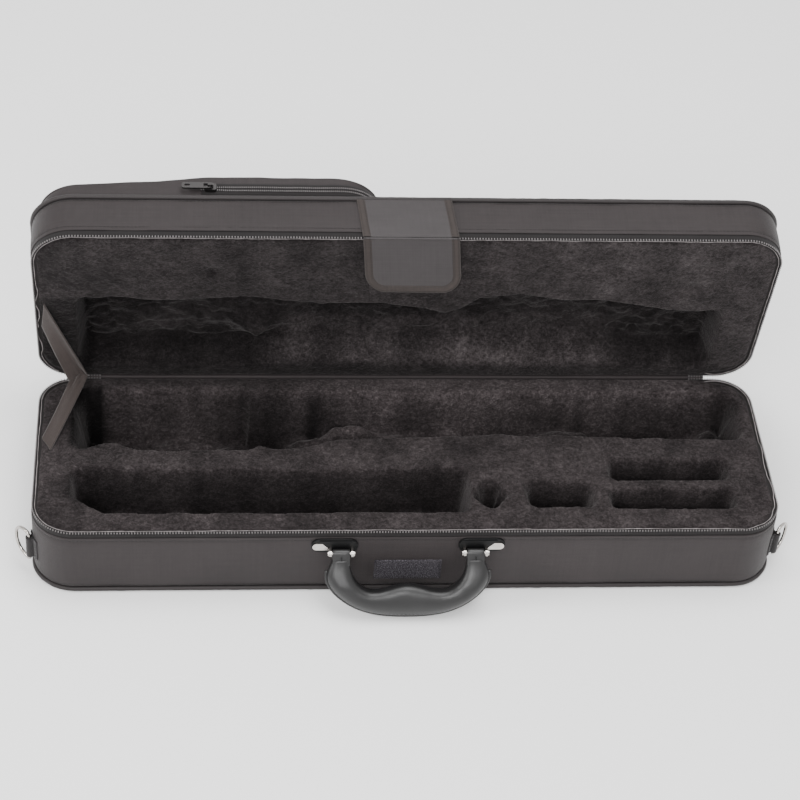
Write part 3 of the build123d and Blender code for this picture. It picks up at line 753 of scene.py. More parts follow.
def lining_edge(name, place, height, loose, seed):
    """A thin frayed strip whose inset wanders where the lining is loose."""
    q, m, run = outline(1.5)
    slack = loose(q[:, 0], q[:, 1])
    wander = line_noise(run, 17, seed) * slack + line_noise(run, 6, seed + 1) * (0.15 + 0.3 * slack)
    inset = 3.3 + 0.25 * line_noise(run, 40, seed + 2) + wander
    hidden = smooth((q[:, 1] - 97) / 7) * smooth((318 - np.abs(q[:, 0])) / 12)
    rise = height + 0.2 * line_noise(run, 9, seed + 3) + (2.6 if height < 9 else -2.6) * hidden
    thick = (0.36 + 0.16 * line_noise(run, 5, seed + 4)) * (1 - 0.4 * hidden)
    a = np.linspace(0, 2 * math.pi, 6, endpoint=False)
    out = -inset[:, None] + 0.9 * thick[:, None] * np.cos(a)
    up = rise[:, None] + thick[:, None] * np.sin(a)
    xy = q[:, None] + m[:, None] * out[..., None]
    return grid_object(name, place(np.dstack([xy, up])), None, True, True)


def base_loose(x, y):
    return 0.25 + 1.3 * smooth((x - 300) / 30) * smooth((70 - y) / 60)


def lid_loose(x, y):
    return 0.3 + 1.6 * smooth((-300 - x) / 30) * smooth((y + 60) / 60)


base_edge = lining_edge("base_lining", on_base, 77.6, base_loose, 51)
lid_edge = lining_edge("lid_lining", on_lid, 1.6, lid_loose, 61)
for strip, body, node in ((base_edge, "base", "base_lining_edge"), (lid_edge, "lid", "lid_lining_edge")):
    set_material(strip, lining_paint)
    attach(strip, body)
    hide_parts(node)

# Base insert: a block of foam under black-brown plush, with wells for the instrument, its necks
# and mouthpiece, and a box for small things. The plush rounds every edge and creases in corners.


def mesh_object(name, verts, faces):
    """Make a smooth object from points in metres and a list of faces."""
    mesh = bpy.data.meshes.new(name)
    mesh.from_pydata(np.asarray(verts, float).reshape(-1, 3).tolist(), [], faces)
    mesh.polygons.foreach_set("use_smooth", [True] * len(mesh.polygons))
    mesh.update()
    obj = bpy.data.objects.new(name, mesh)
    bpy.context.scene.collection.objects.link(obj)
    return obj


def make_nap():
    """Brushed plush: fibres and tufts as height, and patches where the nap lies another way, painted into
    the colour as lighter and darker sheen.
    """
    g, i, o = shader_group("nap", [("Vector", "NodeSocketVector", None)], ["Height", "Tone", "painted_sheen"])
    v = i.outputs["Vector"]
    fibre = cloud(g, stretched(g, v, (620, 900, 900)), 1, 3, 0.7)
    tuft = cloud(g, stretched(g, v, (270, 300, 300)), 1, 4, 0.65, 0.6)
    patch = cloud(g, stretched(g, v, (34, 46, 46)), 1, 4, 0.6, 0.7)
    fold = cloud(g, stretched(g, v, (70, 100, 100)), 1, 3, 0.6, 0.6)
    g.links.new(weighted(g, fibre, 0.35, tuft, 0.65), o.inputs["Height"])
    g.links.new(weighted(g, tuft, 0.55, fibre, 0.45), o.inputs["Tone"])
    g.links.new(weighted(g, patch, 0.6, fold, 0.4), o.inputs["painted_sheen"])
    return g


nap_nodes = make_nap()


def plush(name, dark, mid, light, sheen=0.5):
    """Short plush: speckled nap whose colour is scaled by the mesh's painted_shading value, painted shade
    deep in the wells and painted light on lit slopes.
    """
    material, tree, shader = start_material(name, 0.95, 0.1)
    where = tree.nodes.new("ShaderNodeTexCoord")
    nap = use_group(tree, nap_nodes, where.outputs["Object"])
    # Painted light and shade: the mesh's painted_shading value darkens or lightens the nap's colour.
    painted_shading = tree.nodes.new("ShaderNodeAttribute")
    painted_shading.attribute_name = "painted_shading"
    # A quarter of the tone is the painted sheen of the nap's patches.
    tone = weighted(tree, nap.outputs["Tone"], 0.75, nap.outputs["painted_sheen"], 0.25)
    scaled = tree.nodes.new("ShaderNodeVectorMath")
    scaled.operation = "SCALE"
    tree.links.new(ramp(tree, tone, [(0.37, dark), (0.5, mid), (0.64, light)]), scaled.inputs[0])
    tree.links.new(painted_shading.outputs["Fac"], scaled.inputs["Scale"])
    tree.links.new(scaled.outputs[0], shader.inputs["Base Color"])
    shader.inputs["Sheen Weight"].default_value = sheen
    shader.inputs["Sheen Roughness"].default_value = 0.35
    shader.inputs["Sheen Tint"].default_value = (1.0, 0.93, 0.93, 1)
    bump(tree, shader, nap.outputs["Height"], 1.0, 0.0019)
    return material


nap_shadow = (0.006, 0.005, 0.005)
base_plush = plush("base_plush", nap_shadow, (0.0195, 0.0162, 0.0165), (0.050, 0.0425, 0.0435), 0.09)


def box_distance(x, y, x0, x1, y0, y1, corner):
    """Distance inside a rounded box, positive inside."""
    dx = np.abs(x - (x0 + x1) / 2) - (x1 - x0) / 2 + corner
    dy = np.abs(y - (y0 + y1) / 2) - (y1 - y0) / 2 + corner
    outside = np.hypot(np.maximum(dx, 0), np.maximum(dy, 0))
    return corner - outside - np.minimum(np.maximum(dx, dy), 0)


def sink(distance, depth, wall):
    """Depth of a well whose wall is that wide, with a rounded brim and floor."""
    t = np.clip(distance / wall, 0, 1)
    return depth * (0.35 * smooth(t) + 0.65 * np.sin(t * math.pi / 2) ** 1.5 * smooth(t * 1.15))


def hump(x, y, cx, cy, wide, deep, turn=0.0):
    """A soft bump with a unit height."""
    c = math.cos(math.radians(turn))
    s = math.sin(math.radians(turn))
    u = ((x - cx) * c + (y - cy) * s) / wide
    v = ((y - cy) * c - (x - cx) * s) / deep
    return np.exp(-(u * u + v * v))


def base_height(x, y):
    """Height of the plush over the base's plan, in millimetres."""
    w = 1.6 * noise(x, y, 26, 71) + 0.8 * noise(x, y, 11, 72)
    w = w + 2.2 * noise(x, y, 19, 70) * smooth((y - 50) / 20)
    bell = box_distance(x, y, -321, -140, 3 + 11 * np.exp(-(((x + 285) / 20) ** 2)), 91, 16) + w
    left_ramp = 13 + 5 * smooth((-285 - x) / 30)
    tube_front = 20 + 3 * np.sin(x / 70) - 14 * smooth((-60 - x) / 60) * smooth((x + 170) / 60)
    body = box_distance(x, y, -190, 341, tube_front, 88, 16) + w
    tray = box_distance(x, y, -322, 60, -80, -20 + 2 * np.sin(x / 60), 13)
    tray = np.minimum(tray, (x + 320) * 0.568 + (y + 57) * 0.823) + w * 0.7
    key = box_distance(x, y, 62, 93, -73, -39, 8) + 3 * np.cos(4 * np.arctan2(y + 56, x - 78)) + w * 0.5
    mouth = box_distance(x, y, 111, 182, -75, -36, 13) + w * 0.7
    rear_neck = box_distance(x, y, 194, 316, -38, -8, 11) + w * 0.6
    front_neck = box_distance(x, y, 190, 318, -77, -48, 11) + w * 0.6
    wells = [
        sink(bell, 62 + 3 * noise(x, y, 40, 73), left_ramp),
        sink(body, 55 + 3 * noise(x, y, 30, 74), 17),
        sink(tray, 55 + 2 * noise(x, y, 30, 75), 9),
        sink(key, 31, 9),
        sink(mouth, 41, 13),
        sink(rear_neck, 37, 10),
        sink(front_neck, 37, 10),
    ]
    depth = np.maximum.reduce(wells)
    inside = smooth(depth / 25)
    lift = -15 * hump(x, y, -131, 60, 22, 25) + 28 * hump(x, y, -48, 62, 48, 13, 4)
    lift += 18 * hump(x, y, -132, 30, 40, 12) + 12 * hump(x, y, 60, 74, 45, 12)
    lift += 20 * hump(x, y, 168, 60, 30, 18) - 13 * hump(x, y, 197, 38, 10, 14)
    lift += 9 * hump(x, y, 255, 44, 45, 9)
    lift += 10 * hump(x, y, -286, 4, 22, 12) + 18 * hump(x, y, 318, 50, 14, 40)
    lift += 16 * hump(x, y, 207, -64, 12, 6) + 9 * hump(x, y, 205, -24, 8, 8)
    lift += 4 * hump(x, y, -175, -36, 30, 8, 20) + 4 * hump(x, y, -120, -64, 36, 7, -12)
    lift += 4.6 * noise(x, y, 19, 76) + 2.2 * noise(x, y, 9, 77)
    crease = np.abs(noise(x + 9 * noise(x, y, 30, 78), y * 1.3, 21, 79))
    lift -= 1.3 * np.exp(-((crease / 0.12) ** 2)) * smooth((x + 330) / 60)
    top = 77.4 + 0.5 * noise(x, y, 23, 80) + 0.35 * noise(x, y, 6, 81)
    pull_in = 1.6 * np.exp(-np.abs(depth - 2) / 3)
    return np.minimum(top - depth + lift * inside - pull_in * (depth > 0.2), top)


def insert_mesh(name, place, height, face_inset, skirt, flip, high, shade):
    """A plush top over the plan outline, turned down at its edge, with its painted shading stored on its
    points.
    """
    x, y = plan_grid(face_inset, 545, 168)
    z = height(x, y)
    hx = half_length - face_inset
    hy = half_depth - face_inset
    radius = np.where(y < 0, front_corner, rear_corner) - face_inset
    away = box_distance(x, y, -hx, hx, -hy, hy, radius)
    brim = np.clip(away, 0, 4.5) / 4.5
    rear = smooth((y - 88) / 12) * smooth((318 - np.abs(x)) / 16)
    z = z - skirt * 3.2 * (1 - np.sqrt(1 - (1 - brim) ** 2)) * (1 - 0.8 * rear)
    points = np.stack([x, y + 3.5 * rear, z], -1)
    loop = np.concatenate([points[:, 0], points[-1, 1:], points[-2::-1, -1], points[0, -2:0:-1]])
    levels = [loop]
    for drop in (4, 12):
        lower = loop.copy()
        lower[:, 2] -= skirt * drop
        levels.append(lower)
    top_faces = grid_faces(*points.shape[:2], flip=flip).tolist()
    count = points.shape[0] * points.shape[1]
    side_faces = (grid_faces(3, len(loop), close_v=True, flip=flip) + count).tolist()
    verts = np.concatenate([points.reshape(-1, 3)] + levels)
    made = mesh_object(name, place(verts), top_faces + side_faces)
    # Painted shade: the deeper the plush sinks, the darker it is painted, and the turned-down sides are
    # darkest. The mottle makes this painted shade patchy, and shade(x, y) adds more painted light and
    # shade.
    sunk = np.maximum(skirt * (high - z), 0)
    painted_shading = 1.1 - 0.5 * smooth(sunk / 30) - 0.2 * smooth(sunk / 5) * smooth((24 - sunk) / 20)
    mottle = 1 + 0.26 * noise(x, y, 31, 201) + 0.2 * noise(x, y, 11, 202)
    painted_shading = np.clip(painted_shading * mottle * shade(x, y), 0.08, 2)
    painted_shading = np.concatenate([painted_shading.ravel(), np.full(len(loop) * 3, 0.35)])
    made.data.attributes.new("painted_shading", "FLOAT", "POINT").data.foreach_set("value", painted_shading)
    return made


def base_shade(x, y):
    """Painted light and shade on the base's plush: the bell well's floor and the rear ridges and slopes
    right of it are painted light, and the bell well's left wall, the hollows and the rear edge are painted
    dark as shade.
    """
    bell = smooth((x + 292) / 14) * smooth((-150 - x) / 40) * smooth((y - 14) / 14) * smooth((96 - y) / 20)
    wall = smooth((-290 - x) / 6) * smooth((x + 326) / 6) * smooth((y - 4) / 10) * smooth((100 - y) / 12)
    rest = 1 + 1.5 * bell + 1.0 * smooth((x + 120) / 50) * smooth((330 - x) / 30) * smooth((y - 22) / 12)
    rest += 1.1 * hump(x, y, -46, 62, 46, 9, 4) + 0.7 * hump(x, y, 62, 70, 44, 10)
    rest += 0.5 * hump(x, y, 255, 44, 40, 8)
    rest *= 1 - 0.85 * wall
    # Painted shadow in the hollows and deep corners.
    for cx, cy, wide, deep, turn in (
        (-131, 56, 21, 24, 12),
        (-86, 76, 9, 12, 0),
        (-8, 36, 14, 7, 30),
        (112, 40, 12, 10, 0),
        (196, 35, 8, 12, 0),
        (316, 48, 8, 24, -14),
        (-314, -50, 12, 16, 0),
        (78, -55, 12, 12, 0),
        (205, -30, 12, 7, 0),
        (204, -58, 10, 6, 0),
    ):
        rest *= 1 - 0.8 * hump(x, y, cx, cy, wide, deep, turn)
    return rest * (1 - 0.25 * smooth((y - 90) / 12))


base_insert = insert_mesh("base_plush_block", on_base, base_height, 4.6, 1, False, 77.4, base_shade)
set_material(base_insert, base_plush)
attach(base_insert, "base")
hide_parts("base_insert")

# Lid insert: one long well with a wavy front brim and a wide sloped rear wall, with soft dimples
# where the plush is drawn down
lid_plush = plush("lid_plush", nap_shadow, (0.021, 0.018, 0.0183), (0.052, 0.045, 0.046), 0.09)


def lid_height(x, y):
    """Height of the plush above the lid's rim plane: the well is deeper, so further from the rim."""
    w = 1.5 * noise(x, y, 24, 91) + 0.8 * noise(x, y, 10, 92)
    brim_x = [-330, -314, -245, -207, -160, -83, -25, 40, 52, 70, 111, 155, 183, 225, 259, 311, 330]
    brim_y = [-17, -16, -10, -10, -15, -5, -6, 8, 2, -14, -21, -11, -13, -4, 3, 3, 3]
    front = np.interp(x, brim_x, brim_y)
    well_depth = box_distance(x, y, -319, 314, front - 4, 92, 14) + w
    rear_wall = smooth((x + 150) / 50) * smooth((240 - x) / 50)
    wall = 9 + 24 * rear_wall * smooth((y - 38) / 30) + 2 * smooth((-290 - x) / 20)
    depth = sink(well_depth, 35 + 2 * noise(x, y, 40, 93), wall)
    inside = smooth(depth / 16)
    lift = 15 * hump(x, y, -142, 58, 17, 17) + 6 * hump(x, y, 0, 62, 120, 9)
    lift += 2.4 * noise(x, y, 16, 94) + 1.4 * noise(x, y, 7, 95)
    crease = np.abs(noise(x * 0.8, y * 1.5 + 8 * noise(x, y, 28, 96), 19, 97))
    lift -= 0.9 * np.exp(-((crease / 0.12) ** 2))
    face = 1.7 + 0.5 * noise(x, y, 25, 98) + 0.3 * noise(x, y, 6, 99)
    for cx, cy, deep, wide in (
        (-186, -55, 3.0, 7),
        (-63, -74, 2.4, 6),
        (200, -59, 3.0, 7),
        (286, -62, 2.5, 7),
        (273, -32, 3.5, 8),
    ):
        face = face + deep * hump(x, y, cx, cy, wide, wide)
    dots = 0
    for cx, cy in ((-129, 64), (-20, 71), (196, 70), (216, 68), (237, 71), (258, 69), (280, 72)):
        dots = dots + 5 * hump(x, y, cx, cy, 5, 3.5)
    return face + depth - (lift - dots) * inside


def lid_shade(x, y):
    """Painted light and shade on the lid's plush: darker as shade beside the hinge, at the left of the well
    and towards the left of the front, and lighter on the rear slope and in two pale patches where light
    falls.
    """
    band = smooth((y - 46) / 8) * smooth((86 - y) / 6) * smooth((x + 140) / 50) * smooth((230 - x) / 40)
    left = smooth((-292 - x) / 16) * smooth((y + 20) / 12)
    front = 0.74 + 0.28 * smooth((x + 60) / 260)
    pale = 0.8 * hump(x, y, -236, 66, 34, 12) + 0.5 * hump(x, y, 90, 84, 90, 6)
    return (front + 0.75 * band + pale - 0.35 * smooth((y - 84) / 8)) * (1 - 0.6 * left)


lid_insert = insert_mesh("lid_plush_block", on_lid, lid_height, 4.6, -1, True, 1.7, lid_shade)
set_material(lid_insert, lid_plush)
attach(lid_insert, "lid")
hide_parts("lid_insert")

# Hinge strip: a band of nylon sewn over the rear joint, half to the base's rear wall and half to the lid's.
# It is the hinge itself, shaped here for the lid at this angle.
strip_reach = 311.0
strip_width = 19.2
strip_x = np.linspace(-strip_reach, strip_reach, 150)
lean_cos = math.cos(lid_lean)
lean_sin = math.sin(lid_lean)
strip_rows = []
for t in np.linspace(0, 1, 15):
    if t < 0.46:
        strip_rows.append((106.55, 59.2 + strip_width * t / 0.46))
    elif t > 0.54:
        k = (t - 0.54) / 0.46
        up = 0.6 + strip_width * k
        strip_rows.append(
            (half_depth + 0.55 * lean_cos + up * lean_sin, rim_height - 0.55 * lean_sin + up * lean_cos)
        )
    else:
        strip_rows.append((106.6, 78.7))
strip_points = np.array([[(x, y, z) for y, z in strip_rows] for x in strip_x])
strip_points[..., 1] += 0.15 * noise(strip_points[..., 0], strip_points[..., 2], 12, 101)
hinge_cloth = grid_object("hinge_cloth", on_base(strip_points), strip_points[..., [0, 2]] / 1000, flip=True)
set_material(hinge_cloth, nylon)
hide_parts("hinge_strip")
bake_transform(hinge_cloth)

# Stay strap: flat brownish webbing from the base's rim to the lid's, slack while the lid stands at
# this angle, so it twists and creases at the fold
strap_cloth = cloth("strap_cloth", (0.030, 0.0225, 0.0205), 0.8, 900.0, 0.0002, 0.25, 0.25)


def thicken(obj, thickness):
    """Give a sheet its thickness in millimetres, half to each side."""
    wall = obj.modifiers.new("thickness", "SOLIDIFY")
    wall.thickness = thickness / 1000
    wall.offset = 0
    obj.data = bpy.data.meshes.new_from_object(obj.evaluated_get(bpy.context.evaluated_depsgraph_get()))
    obj.modifiers.clear()


fold = np.array([-315.0, 78.0, 104.0])
width_low = np.array([0, 1.0, 0])
width_mid = np.array([1.0, 0, 0])
width_high = on_lid((0, 1.0, 0)) - on_lid((0, 0.0, 0))
width_high = -width_high / np.linalg.norm(width_high)
stations = np.linspace(0, 1, 96)
cross_t = np.linspace(-1, 1, 17)
strap_points = []
for t in stations:
    wide_end = width_low if t < 0.5 else width_high
    k = abs(t - 0.5) / 0.5
    turn = 1 - k
    row = []
    for c in cross_t:
        share = (c + 1) / 2
        if t < 0.5:
            foot = np.array([-349 + 9 * share, 20 - 17 * share, 77.9])
        else:
            foot = on_lid((-349 + 3.5 * share, 27 - 34 * share, 1.2)) * 1000
        knee = fold + width_mid * 9.2 * c + np.array([0, 3.0, 2.0]) * math.sin(c * 2.2 + 0.5)
        reach = math.sqrt(k * k + 0.0009) - 0.03 * turn
        m = knee + (foot - knee) * min(1.0, reach)
        crush = math.exp(-((k / 0.16) ** 2))
        run_way = (foot - knee) / np.linalg.norm(foot - knee)
        face = np.cross(run_way, wide_end * k + width_mid * turn)
        face /= np.linalg.norm(face)
        wave = crush * (0.8 * math.sin(c * 7 + 30 * t) + 0.5 * math.sin(c * 13 - 50 * t))
        slack = 1.6 * math.sin(k * math.pi) * (1 - 0.4 * c)
        row.append(m + face * (wave + 0.35 * (1 - c * c)) + np.array([0, 0, -1.0]) * slack)
    strap_points.append(row)
strap_points = np.array(strap_points)
strap_middle = strap_points[:, 8]
length_along = running(np.linalg.norm(np.diff(strap_middle, axis=0), axis=1))
strap_uv = np.stack(np.meshgrid(length_along, cross_t * 10, indexing="ij"), -1) / 1000
stay = grid_object("stay_webbing", on_base(strap_points), strap_uv)
thicken(stay, 1.1)
set_material(stay, strap_cloth)
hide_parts("stay_strap")
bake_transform(stay)

# Flap: two layers of nylon bound round the edge with brownish tape. The upper part is sewn to the
# lid's front wall, and the part below the bend hangs and leans out a little.
flap_cloth = cloth("flap_cloth", (0.033, 0.029, 0.0297), 0.42, 1700.0, 0.00008, 0.07, 0.14)
binding_cloth = cloth("binding_cloth", (0.030, 0.0235, 0.0215), 0.7, 800.0, 0.0002, 0.12, 0.25)
flap_half = 45.0
flap_length = 56.0
flap_corner = 19.0
binding_width = 7.5
lean = math.radians(12.5)
bend_low = np.array([0, 67.78, 288.85])
hang = np.array([0, -math.sin(lean), -math.cos(lean)])
facing = np.array([0, -math.cos(lean), math.sin(lean)])


def flap_outline(length, half, corner, count):
    """Half-outline of the hanging part as (across, down) pairs, from the bend's left end to its right."""
    turn = np.linspace(0, math.pi / 2, count)[1:]
    level = length - corner
    pts = [(-half, d) for d in np.linspace(0, level, count)]
    pts += [(-half + corner - corner * math.cos(a), level + corner * math.sin(a)) for a in turn]
    pts += [(c, length) for c in np.linspace(-half + corner, half - corner, count)[1:]]
    pts += [(half - corner + corner * math.sin(a), level + corner * math.cos(a)) for a in turn]
    pts += [(half, d) for d in np.linspace(level, 0, count)[1:]]
    return np.array(pts)


def flap_place(across, down, out):
    """A point of the hanging part, in metres."""
    across = np.asarray(across, float)
    down = np.asarray(down, float)
    drop = smooth(down / flap_length)
    curl = 0.5 * np.sin(across / flap_half * 2.2) * drop + 0.4 * drop**2
    across = across - 3.4 + 4.9 * down / flap_length
    p = bend_low + np.stack([across, 0 * across, 0 * across], -1)
    return (p + down[..., None] * hang + (np.asarray(out) + curl)[..., None] * facing) / 1000


half_cols = np.linspace(-1, 1, 40)
rows_down = np.linspace(0, 1, 30)


def flap_panel(name, out, inset, flip):
    """A face of the hanging part."""
    half = flap_half - inset
    length = flap_length - inset
    corner = flap_corner - inset
    pts = []
    for r in rows_down:
        down = 0.2 + (length - 0.2) * r
        over = max(0.0, down - (length - corner))
        width = half - corner + math.sqrt(max(corner**2 - over**2, 0))
        row_down = np.full(40, down)
        pts.append(np.stack([half_cols * width, row_down], -1))
    pts = np.array(pts)
    swell = 0.25 * noise(pts[..., 0], pts[..., 1], 22, 111)
    placed = flap_place(pts[..., 0], pts[..., 1], out + swell * (1 if out > 0 else 0))
    return grid_object(name, placed, pts / 1000, flip=flip)


front_panel = flap_panel("flap_front", 0.8, 2, False)
back_panel = flap_panel("flap_back", -0.8, 2, True)
for panel in (front_panel, back_panel):
    set_material(panel, flap_cloth)


def binding(name, edge, wide, place_fn, inward):
    """Tape folded over an edge: it lies flat on both faces and rounds the rim."""
    profile = [(wide, 0.95), (wide - 0.3, 1.25), (1.2, 1.3), (0.3, 0.9), (0, 0)]
    profile += [(0.3, -0.9), (1.2, -1.2), (wide, -1.1)]
    pts = []
    for (a, d), (na, nd) in zip(edge, inward):
        pts.append([(a + na * w, d + nd * w, o) for w, o in profile])
    pts = np.array(pts)
    run = np.arange(len(edge)) * 2.0
    over = [w + (3 if o < 0 else 0) for w, o in profile]
    uv = np.stack(np.meshgrid(run, over, indexing="ij"), -1) / 1000
    return grid_object(name, place_fn(pts[..., 0], pts[..., 1], pts[..., 2]), uv)


low_edge = flap_outline(flap_length, flap_half, flap_corner, 16)
tangent = np.gradient(low_edge, axis=0)
tangent /= np.linalg.norm(tangent, axis=1)[:, None]
inward = np.stack([tangent[:, 1], -tangent[:, 0]], -1)
lower_binding = binding("flap_binding", low_edge, binding_width, flap_place, inward)
set_material(lower_binding, binding_cloth)
stitch_rows = []
for k, w in enumerate((1.6, 6.4)):
    run_line = low_edge + inward * w
    points = flap_place(run_line[:, 0], run_line[:, 1], np.full(len(run_line), 1.4))
    stitch_rows.append(sew(f"flap_stitch_{k}", points, facing, 3.4))
roll_x = np.linspace(-44.6, 44.6, 24)
roll = tube("flap_roll", flap_place(roll_x, 0 * roll_x, 0 * roll_x) * 1000, 1.2, 10)
set_material(roll, flap_cloth)
flap_soft = join("flap_hanging", [front_panel, back_panel, roll])
flap_trim = join("flap_lower_trim", [lower_binding] + stitch_rows)
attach(flap_soft, "flap")
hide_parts("flap_lower")
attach(flap_trim, "flap")


def upper_place(across, down, out):
    """A point of the sewn part: down runs from the outer face's edge to the bend."""
    z = 46 - np.asarray(down, float)
    y = -106.3 - 1.0 - np.asarray(out, float)
    x = np.asarray(across, float) - 3.4 - 4.1 * (z + 0.4) / 46
    return on_lid(np.stack([x, y + 0 * x, z + 0 * x], -1))


up_rows = np.linspace(0, 45.6, 26)
up_cols = np.linspace(-43, 43, 40)
uu, vv = np.meshgrid(up_rows, up_cols, indexing="ij")
swell = 0.5 + 0.5 * np.sin(uu / 45.6 * math.pi) + 0.25 * noise(uu, vv, 20, 112)
upper_panel = grid_object("flap_sewn_face", upper_place(vv, uu, swell), np.stack([vv, uu], -1) / 1000)
set_material(upper_panel, flap_cloth)
made = []
for side in (-1, 1):
    edge_line = np.stack([np.full(26, side * flap_half), up_rows], -1)
    turned = np.tile([-side, 0.0], (26, 1))
    strip = binding(f"flap_side_{side + 1}", edge_line, binding_width, upper_place, turned)
    if side > 0:
        strip.data.flip_normals()
    set_material(strip, binding_cloth)
    made.append(strip)
    for k, w in enumerate((1.6, 6.4)):
        points = upper_place(np.full(26, side * (flap_half - w)), up_rows, np.full(26, 1.45))
        out = np.array(on_lid((0, -1.0, 0)) - on_lid((0, 0.0, 0))) * 1000
        made.append(sew(f"flap_up_{side + 1}_{k}", points, out, 3.4))
flap_sewn = upper_panel
flap_sewn.name = "flap_sewn"
sewn_trim = join("flap_upper_trim", made)
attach(sewn_trim, "lid")
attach(flap_sewn, "lid")
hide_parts("flap_upper")

# Hook patch: stiff nylon hooks on a woven ground, cut to a plain rectangle and sewn to the middle
# of the base's front wall, where the flap closes on it
hook_paint, hook_tree, hook_shader = start_material("hook_tape", 0.85, 0.2)
hook_where = hook_tree.nodes.new("ShaderNodeTexCoord")
hook_rows = cloud(hook_tree, stretched(hook_tree, hook_where.outputs["Object"], (900, 900, 900)), 1, 2, 0.6)
hook_tone = [(0.35, (0.012, 0.011, 0.014)), (0.52, (0.042, 0.038, 0.044)), (0.7, (0.11, 0.10, 0.115))]
hook_tree.links.new(ramp(hook_tree, hook_rows, hook_tone), hook_shader.inputs["Base Color"])
bump(hook_tree, hook_shader, hook_rows, 1.0, 0.0012)


def patch(name, wide, tall, thick, place, stitch_up):
    """A sewn rectangle with soft corners, on a plane given by place(across, up, out)."""
    u = np.linspace(-1, 1, 48)
    v = np.linspace(-1, 1, 24)
    uu, vv = np.meshgrid(u, v, indexing="ij")
    x = uu * wide / 2
    y = vv * tall / 2
    rim = np.minimum(wide / 2 - np.abs(x), tall / 2 - np.abs(y))
    out = thick * np.sqrt(np.clip(rim / 0.8, 0, 1)) - 0.35 * np.exp(-(((rim - 2) / 0.6) ** 2))
    face = grid_object(name, place(x, y, out + 0.02 * noise(x, y, 3, 121)), np.stack([x, y], -1) / 1000)
    set_material(face, hook_paint)
    loop = [(a, -1) for a in np.linspace(-1, 1, 30)] + [(1, a) for a in np.linspace(-1, 1, 14)]
    loop += [(a, 1) for a in np.linspace(1, -1, 30)] + [(-1, a) for a in np.linspace(1, -1, 14)]
    loop = np.array(loop) * (wide / 2 - 2, tall / 2 - 2)
    points = place(loop[:, 0], loop[:, 1], np.full(len(loop), thick - 0.15))
    sewn = sew(name + "_thread", points, stitch_up, 3.2)
    return join(name, [face, sewn])


def hook_place(across, up, out):
    """A point over the base's front wall, in metres."""
    return on_base(np.stack([across - 2, -106.6 - out, up + 28], -1))


hook_patch = patch("hook_patch_face", 64, 26, 1.3, hook_place, (0, -1, 0))
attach(hook_patch, "base")
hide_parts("hook_patch")

# Loop patch: the hooks' softer mate, a napped rectangle of nylon loops. It is sewn to the back of
# the hanging flap and meets the hooks when the case is shut.


def loop_place(across, up, out):
    """A point behind the hanging flap, in metres."""
    return flap_place(across, 41 - up, -1.15 - out)


loop_patch = patch("loop_patch_face", 64, 22, 1.0, loop_place, -facing)
loop_patch.data.flip_normals()
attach(loop_patch, "flap")
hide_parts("loop_patch")

# Metal and moulded parts: bright nickel on the brackets, pins and rings, dark plating on the
# sliders and pulls, and black moulded pads under the brackets


def worn_finish(name, stops, rough, specular, metallic=0.0):
    """A finish whose colour varies slowly with handling."""
    material, tree, shader = start_material(name, rough, specular, metallic)
    where = tree.nodes.new("ShaderNodeTexCoord").outputs["Object"]
    wear = use_group(tree, wear_nodes, where)
    tree.links.new(ramp(tree, wear.outputs["Tone"], stops), shader.inputs["Base Color"])
    return material, tree, shader, where


nickel_tone = [(0.3, (0.34, 0.31, 0.29)), (0.6, (0.56, 0.53, 0.50))]
nickel = worn_finish("nickel", nickel_tone, 0.24, 0.5, 1.0)[0]
gunmetal = plain_finish("gunmetal", (0.055, 0.052, 0.052), 0.33, 0.5, 0.9)
moulding = plain_finish("moulding", (0.004, 0.004, 0.0042), 0.5, 0.18)
board_paint = plain_finish("lined_board", (0.02, 0.018, 0.018), 0.9, 0.1)
for names, paint, soften in (
    (("bracket_left", "bracket_right"), nickel, 0.35),
    (("handle_pin_left", "handle_pin_right"), nickel, 0.25),
    (("carry_ring_left", "carry_ring_right"), nickel, 0),
    (("pocket_slider", "pocket_pull", "main_slider_left", "main_slider_right"), gunmetal, 0.3),
    (("main_pull_left", "main_pull_right"), gunmetal, 0.3),
    (("bracket_pad_left", "bracket_pad_right"), moulding, 0),
    (("base_shell", "lid_shell"), board_paint, 0),
):
    for node in names:
        set_material(nodes[node], paint)
        if soften:
            rounding = nodes[node].modifiers.new("rounding", "BEVEL")
            rounding.width = soften / 1000
            rounding.segments = 3
            rounding.limit_method = "ANGLE"
            rounding.harden_normals = False

# Bracket covers: a plain black plate with sloped corners stands in front of each nickel bracket and hides
# all of it but the outboard end.
handle_x = -3.5
pin_reach = 63.2
covers = []
for side in (-1, 1):
    outer_edge = [(20.5, 69.2), (8.5, 56.6), (-13, 56.6), (-15, 59), (-15, 66.5), (-13, 69.2)]
    ends = []
    for y in (-108.4, -109.63):
        ends += [(handle_x + side * (pin_reach + a), y, z) for a, z in outer_edge]
    faces = [[k, (k + 1) % 6, (k + 1) % 6 + 6, k + 6] for k in range(6)]
    faces += [[5, 4, 3, 2, 1, 0], [6, 7, 8, 9, 10, 11]]
    if side > 0:
        faces = [face[::-1] for face in faces]
    cover = bpy.data.objects.new(f"pad_cover_{side + 1}", bpy.data.meshes.new("black_sheet"))
    covers.append(cover)
    cover.data.from_pydata((np.array(ends) / 1000).tolist(), [], faces)
    bpy.context.scene.collection.objects.link(cover)
    set_material(cover, moulding)
dark_plates = join("bracket_pad_covers", covers)
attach(dark_plates, "base")

